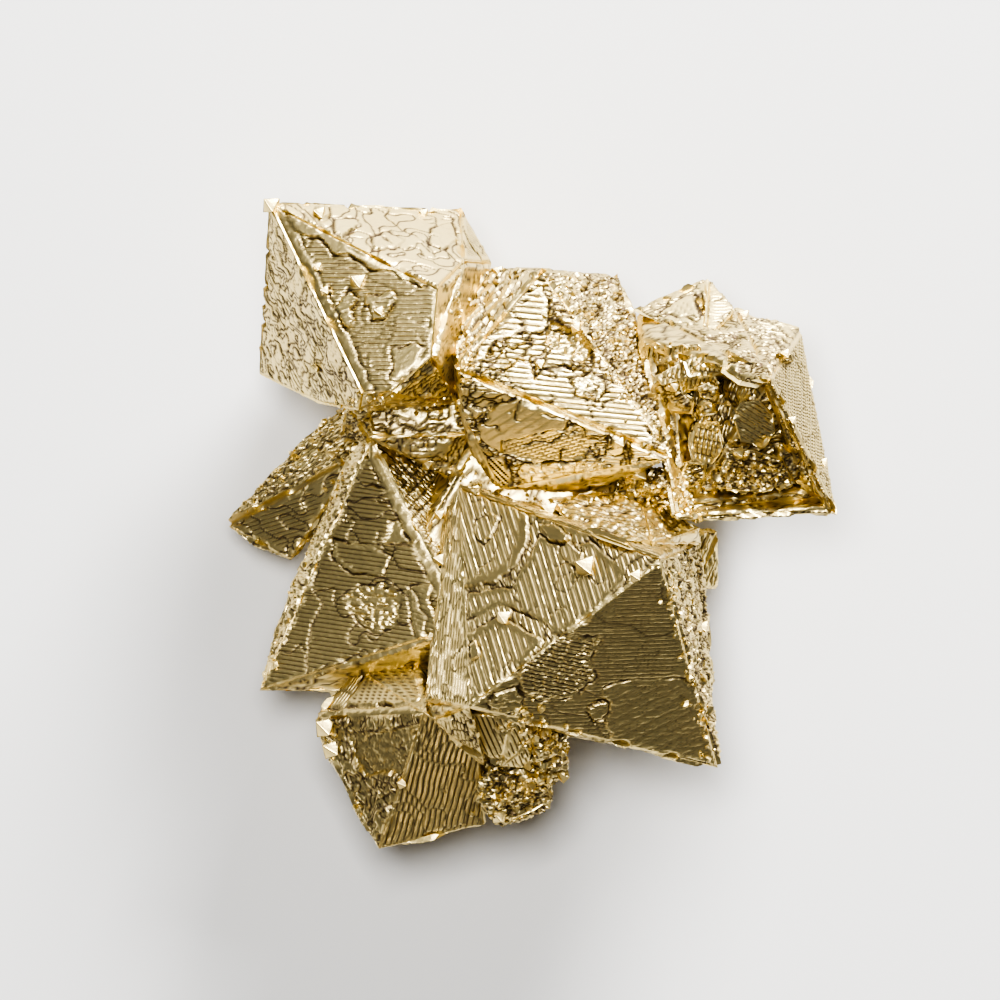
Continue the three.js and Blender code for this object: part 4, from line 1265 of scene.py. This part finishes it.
# %% [markdown]
# ## Small crystals
#
# Dozens of small octahedra have grown on the large ones. Each is let in where a straight line
# meets the dressed surface. Their faces are drawn in a little, because their edges grew fastest.

# %% Small crystals
SMALL_CRYSTALS = [              # across, along, half a diagonal, turn in degrees
    (-17.3, 21.2, 0.78, 42.5), (-14.1, 20.6, 0.6, 57.5), (-7.2, 20.7, 0.45, 47.5),
    (-2.2, 16.8, 0.5, 52.5), (-11.5, 16.0, 0.75, 45), (-10.1, 14.0, 0.5, 62.5),
    (-13.7, 15.4, 0.45, 72.5), (-14.2, 17.0, 0.4, 50), (-14.4, 10.3, 0.5, 55), (3.6, -2.9, 1.0, 60),
    (1.2, 0.8, 0.8, 47.5), (6.9, -3.5, 0.6, 67.5), (-1.8, -6.3, 0.7, 42.5), (7.3, 3.1, 0.7, 77.5),
    (14.3, 13.9, 0.5, 52.5), (16.9, 11.2, 0.5, 65), (17.3, 6.8, 0.4, 45), (19.5, 4.0, 0.45, 57.5),
    (13.8, 4.6, 0.6, 70), (-6.1, 0.5, 0.5, 47.5), (-6.1, -2.5, 0.6, 62.5), (-13.4, 4.5, 0.6, 55),
    (-13.7, -13.7, 0.95, 52.5), (-13.3, -15.1, 0.9, 67.5), (-2.1, -19.6, 0.7, 50),
    (11.5, -7.0, 0.6, 60), (9.6, 9.0, 0.5, 45), (5.9, 5.3, 0.5, 72.5), (0.6, 10.5, 0.45, 47.5),
    (3.0, 13.0, 0.5, 62.5), (-8.6, -17.4, 0.5, 77.5), (-6.9, 3.8, 0.5, 42.5),
]
HIDDEN_CRYSTALS = [             # the point aimed at from outside, and half a diagonal
    ((-16, 14, 4), 0.8), ((-8, 16, 2), 1.0), ((2, 15, 3), 0.9), ((9, 12, 3), 0.8),
    ((17, 8, 4), 0.9), ((14, 0, 5), 0.8), ((10, -8, 3), 1.0), ((4, -15, 5), 0.8),
    ((-4, -17, 4), 0.9), ((-13, -10, 3), 0.9), ((-17, 2, 1), 0.7), ((-9, 4, 0), 0.9),
    ((8, 5, 1), 0.9), ((-12, -16, 6), 0.7), ((5, 9, 1), 0.7), ((-6, 11, 1), 0.8),
]
HEART = Vector((0, 0, 12))      # the middle that the hidden ones are aimed at
SEATING = 0.05                  # share of half its diagonal that a small crystal is let in
FACE_UP = Vector((0.10, 0.35, 0.93))            # the way the top face of those in front looks
CLEAR = 60                      # mm, outside everything
DOWN = Vector((0, 0, -1))


def first_hit(start, way):
    """Where a straight line from outside first meets the dressed crystals, in mm."""
    hits = [piece.ray_cast(start * MM, way) for piece in CRYSTALS]
    points = [point / MM for met, point, _, _ in hits if met]
    return min(points, key=lambda point: (point - start).length, default=None)


def add_to(work, spot):
    """Add one small closed shape to a larger mesh."""
    mesh = bpy.data.meshes.new("spot")
    spot.to_mesh(mesh)
    spot.free()
    work.from_mesh(mesh)
    bpy.data.meshes.remove(mesh)


def small_octahedron(work, centre, half, turn):
    """Add a small octahedron with sunk faces and slightly worn edges."""
    spot = bmesh.new()
    for corner in octahedron(half, turn, stay_in(centre, half)).values():
        spot.verts.new(corner)
    bmesh.ops.convex_hull(spot, input=spot.verts[:])
    faces = spot.faces[:]
    bmesh.ops.inset_individual(spot, faces=faces, thickness=half * 0.10, depth=-half * 0.05)
    bmesh.ops.inset_individual(spot, faces=faces, thickness=half * 0.12, depth=half * 0.03)
    bmesh.ops.bevel(
        spot, geom=spot.edges[:], offset=half * 0.02, offset_type="OFFSET", segments=1,
        profile=0.5, affect="EDGES", material=-1)
    add_to(work, spot)


def face_up(degrees):
    """A turn that lays one face of an octahedron towards FACE_UP, then spins it about that."""
    upright = Vector((1, 1, 1)).rotation_difference(FACE_UP).to_matrix()
    return Matrix.Rotation(math.radians(degrees), 3, FACE_UP) @ upright


bpy.context.view_layer.update()
small = bmesh.new()
for x, y, half, degrees in SMALL_CRYSTALS:
    centre = first_hit(Vector((x, y, CLEAR)), DOWN) + DOWN * SEATING * half
    small_octahedron(small, centre, half, face_up(degrees))
for number, (aim, half) in enumerate(HIDDEN_CRYSTALS):
    inward = (HEART - Vector(aim)).normalized()
    centre = first_hit(Vector(aim) - inward * CLEAR, inward)
    small_octahedron(small, centre, half, turned((67 * number, 41 * number, 23 * number)))
keep(small, "small_crystals")

# %% [markdown]
# ## Grains along the edges
#
# The rough edges are strings of grains, a few tenths of a millimetre wide. They are strewn along
# paths with a seeded generator, and let in where a line from above meets the surface.

# %% Grains
Trail = namedtuple("Trail", "path spread count small large")
LEAST_HEIGHT = 3                # mm: a grain that misses the front crystals is left out
TRAILS = [
    Trail(((-11.9, 4.9), (-15.7, -3.4), (-17.5, -8.7), (-18.1, -11.2)), 0.5, 70, 0.12, 0.34),
    Trail(((-12.3, 7.9), (-15.3, 5.6), (-17.7, 2.9), (-20.1, -0.2)), 0.7, 70, 0.10, 0.26),
    Trail(((9.2, -3.0), (10.4, -8.0), (12.0, -15.8)), 0.9, 90, 0.12, 0.34),
    Trail(((-1.0, -12.6), (1.5, -15.5), (0.5, -18.5), (-2.8, -18.5)), 1.4, 130, 0.12, 0.36),
    Trail(((1.5, 15.6), (5.0, 12.0), (8.6, 5.5)), 1.2, 90, 0.10, 0.28),
    Trail(((9.2, 0.6), (12.0, 3.0), (16.5, 2.4)), 1.0, 60, 0.12, 0.30),
    Trail(((6.2, 2.6), (9.5, 2.2), (11.6, 0.0)), 0.9, 60, 0.12, 0.34),
    Trail(((-4.9, 3.0), (-1.0, 1.6), (5.0, 1.4)), 0.6, 50, 0.10, 0.30),
    Trail(((8.0, 11.5), (11.5, 9.5), (12.5, 6.0)), 1.2, 50, 0.10, 0.30),
    Trail(((-13.9, -13.4), (-13.2, -16.6), (-11.6, -19.4)), 0.5, 40, 0.12, 0.32),
    Trail(((-4.8, 15.5), (-4.2, 12.0), (-4.6, 8.8)), 0.6, 50, 0.10, 0.28),
    Trail(((-12.4, 8.2), (-8.0, 7.8), (-5.0, 8.4)), 0.7, 50, 0.10, 0.28),
]


def grain(work, centre, half, dice):
    """Add one faceted grain, no two alike."""
    centre = stay_in(centre, half * 1.2)
    made = bmesh.ops.create_icosphere(work, subdivisions=1, radius=half)
    turn = Euler([dice.uniform(0, 2 * math.pi) for _ in range(3)]).to_matrix()
    for vert in made["verts"]:
        vert.co = centre + turn @ vert.co * dice.uniform(0.75, 1.2)


def strew(work, trail, dice):
    """Strew grains about a path."""
    legs = list(zip(trail.path, trail.path[1:]))
    for _ in range(trail.count):
        (ax, ay), (bx, by) = dice.choice(legs)
        share = dice.random()
        x = ax + (bx - ax) * share + dice.gauss(0, trail.spread / 2)
        y = ay + (by - ay) * share + dice.gauss(0, trail.spread / 2)
        foot = first_hit(Vector((x, y, CLEAR)), DOWN)
        if foot and foot.z > LEAST_HEIGHT:
            grain(work, foot, trail.small + (trail.large - trail.small) * dice.random() ** 2, dice)


dice = random.Random(7)
grains = bmesh.new()
for trail in TRAILS:
    strew(grains, trail, dice)
keep(grains, "grains")

# %% [markdown]
# ## Studio
#
# A plain pale floor, one broad soft light low behind the cluster's top edge, a small one high up
# that reaches the hollows, a weak warm one in front, and a faint even light from all round. Gold
# shows what it mirrors: faces that lean towards the big light turn bright, and the rest stay brown
# and olive.

# %% Floor and lights
bpy.ops.mesh.primitive_plane_add(size=4, location=(0, 0, 0))
floor = bpy.context.object
floor.name = "floor"
paper = Finish("paper")
paper.set(Base_Color=(0.80, 0.79, 0.77, 1), Roughness=0.8)
floor.data.materials.append(paper.material)

AIM = Vector((-0.002, 0.002, 0.012))            # the middle of the cluster, in metres


def soft_light(name, place, size, power, colour=(1, 1, 1)):
    """A square soft light that looks at the cluster."""
    lamp = bpy.data.lights.new(name, "AREA")
    lamp.shape, lamp.size, lamp.energy, lamp.color = "SQUARE", size, power, colour
    light = bpy.data.objects.new(name, lamp)
    light.location = place
    light.rotation_euler = (Vector(place) - AIM).to_track_quat("Z", "Y").to_euler()
    light.visible_camera = False
    bpy.context.scene.collection.objects.link(light)


soft_light("key", (0.16, 0.41, 0.22), 0.18, 6.3)
soft_light("high", (-0.03, 0.05, 0.50), 0.12, 2.2)
soft_light("front", (-0.14, -0.415, 0.25), 0.08, 0.12, (1.0, 0.82, 0.55))

world = bpy.data.worlds.new("studio")
world.use_nodes = True
world.node_tree.nodes["Background"].inputs["Color"].default_value = (0.9, 0.92, 1.0, 1)
world.node_tree.nodes["Background"].inputs["Strength"].default_value = 0.08
bpy.context.scene.world = world
bpy.context.scene.view_settings.look = "AgX - High Contrast"

# %% [markdown]
# ## Camera
#
# The camera looks straight down from far away through a long lens, so the high parts of the
# cluster hardly look larger than the low ones.

# %% Camera
LOOK_AT = Vector((-2.07, 1.5, 15.5)) * MM       # the middle of the picture
DISTANCE = 0.9                  # metres from there to the camera
SEEN = 66.67 * MM               # width of the view at the cluster's middle height
lens = bpy.data.cameras.new("camera")
lens.sensor_width = 36
lens.lens = 36 * DISTANCE / SEEN
lens.clip_start, lens.clip_end = 0.01, 20
camera = bpy.data.objects.new("camera", lens)
camera.location = LOOK_AT + Vector((0, 0, DISTANCE))
bpy.context.scene.collection.objects.link(camera)
bpy.context.scene.camera = camera
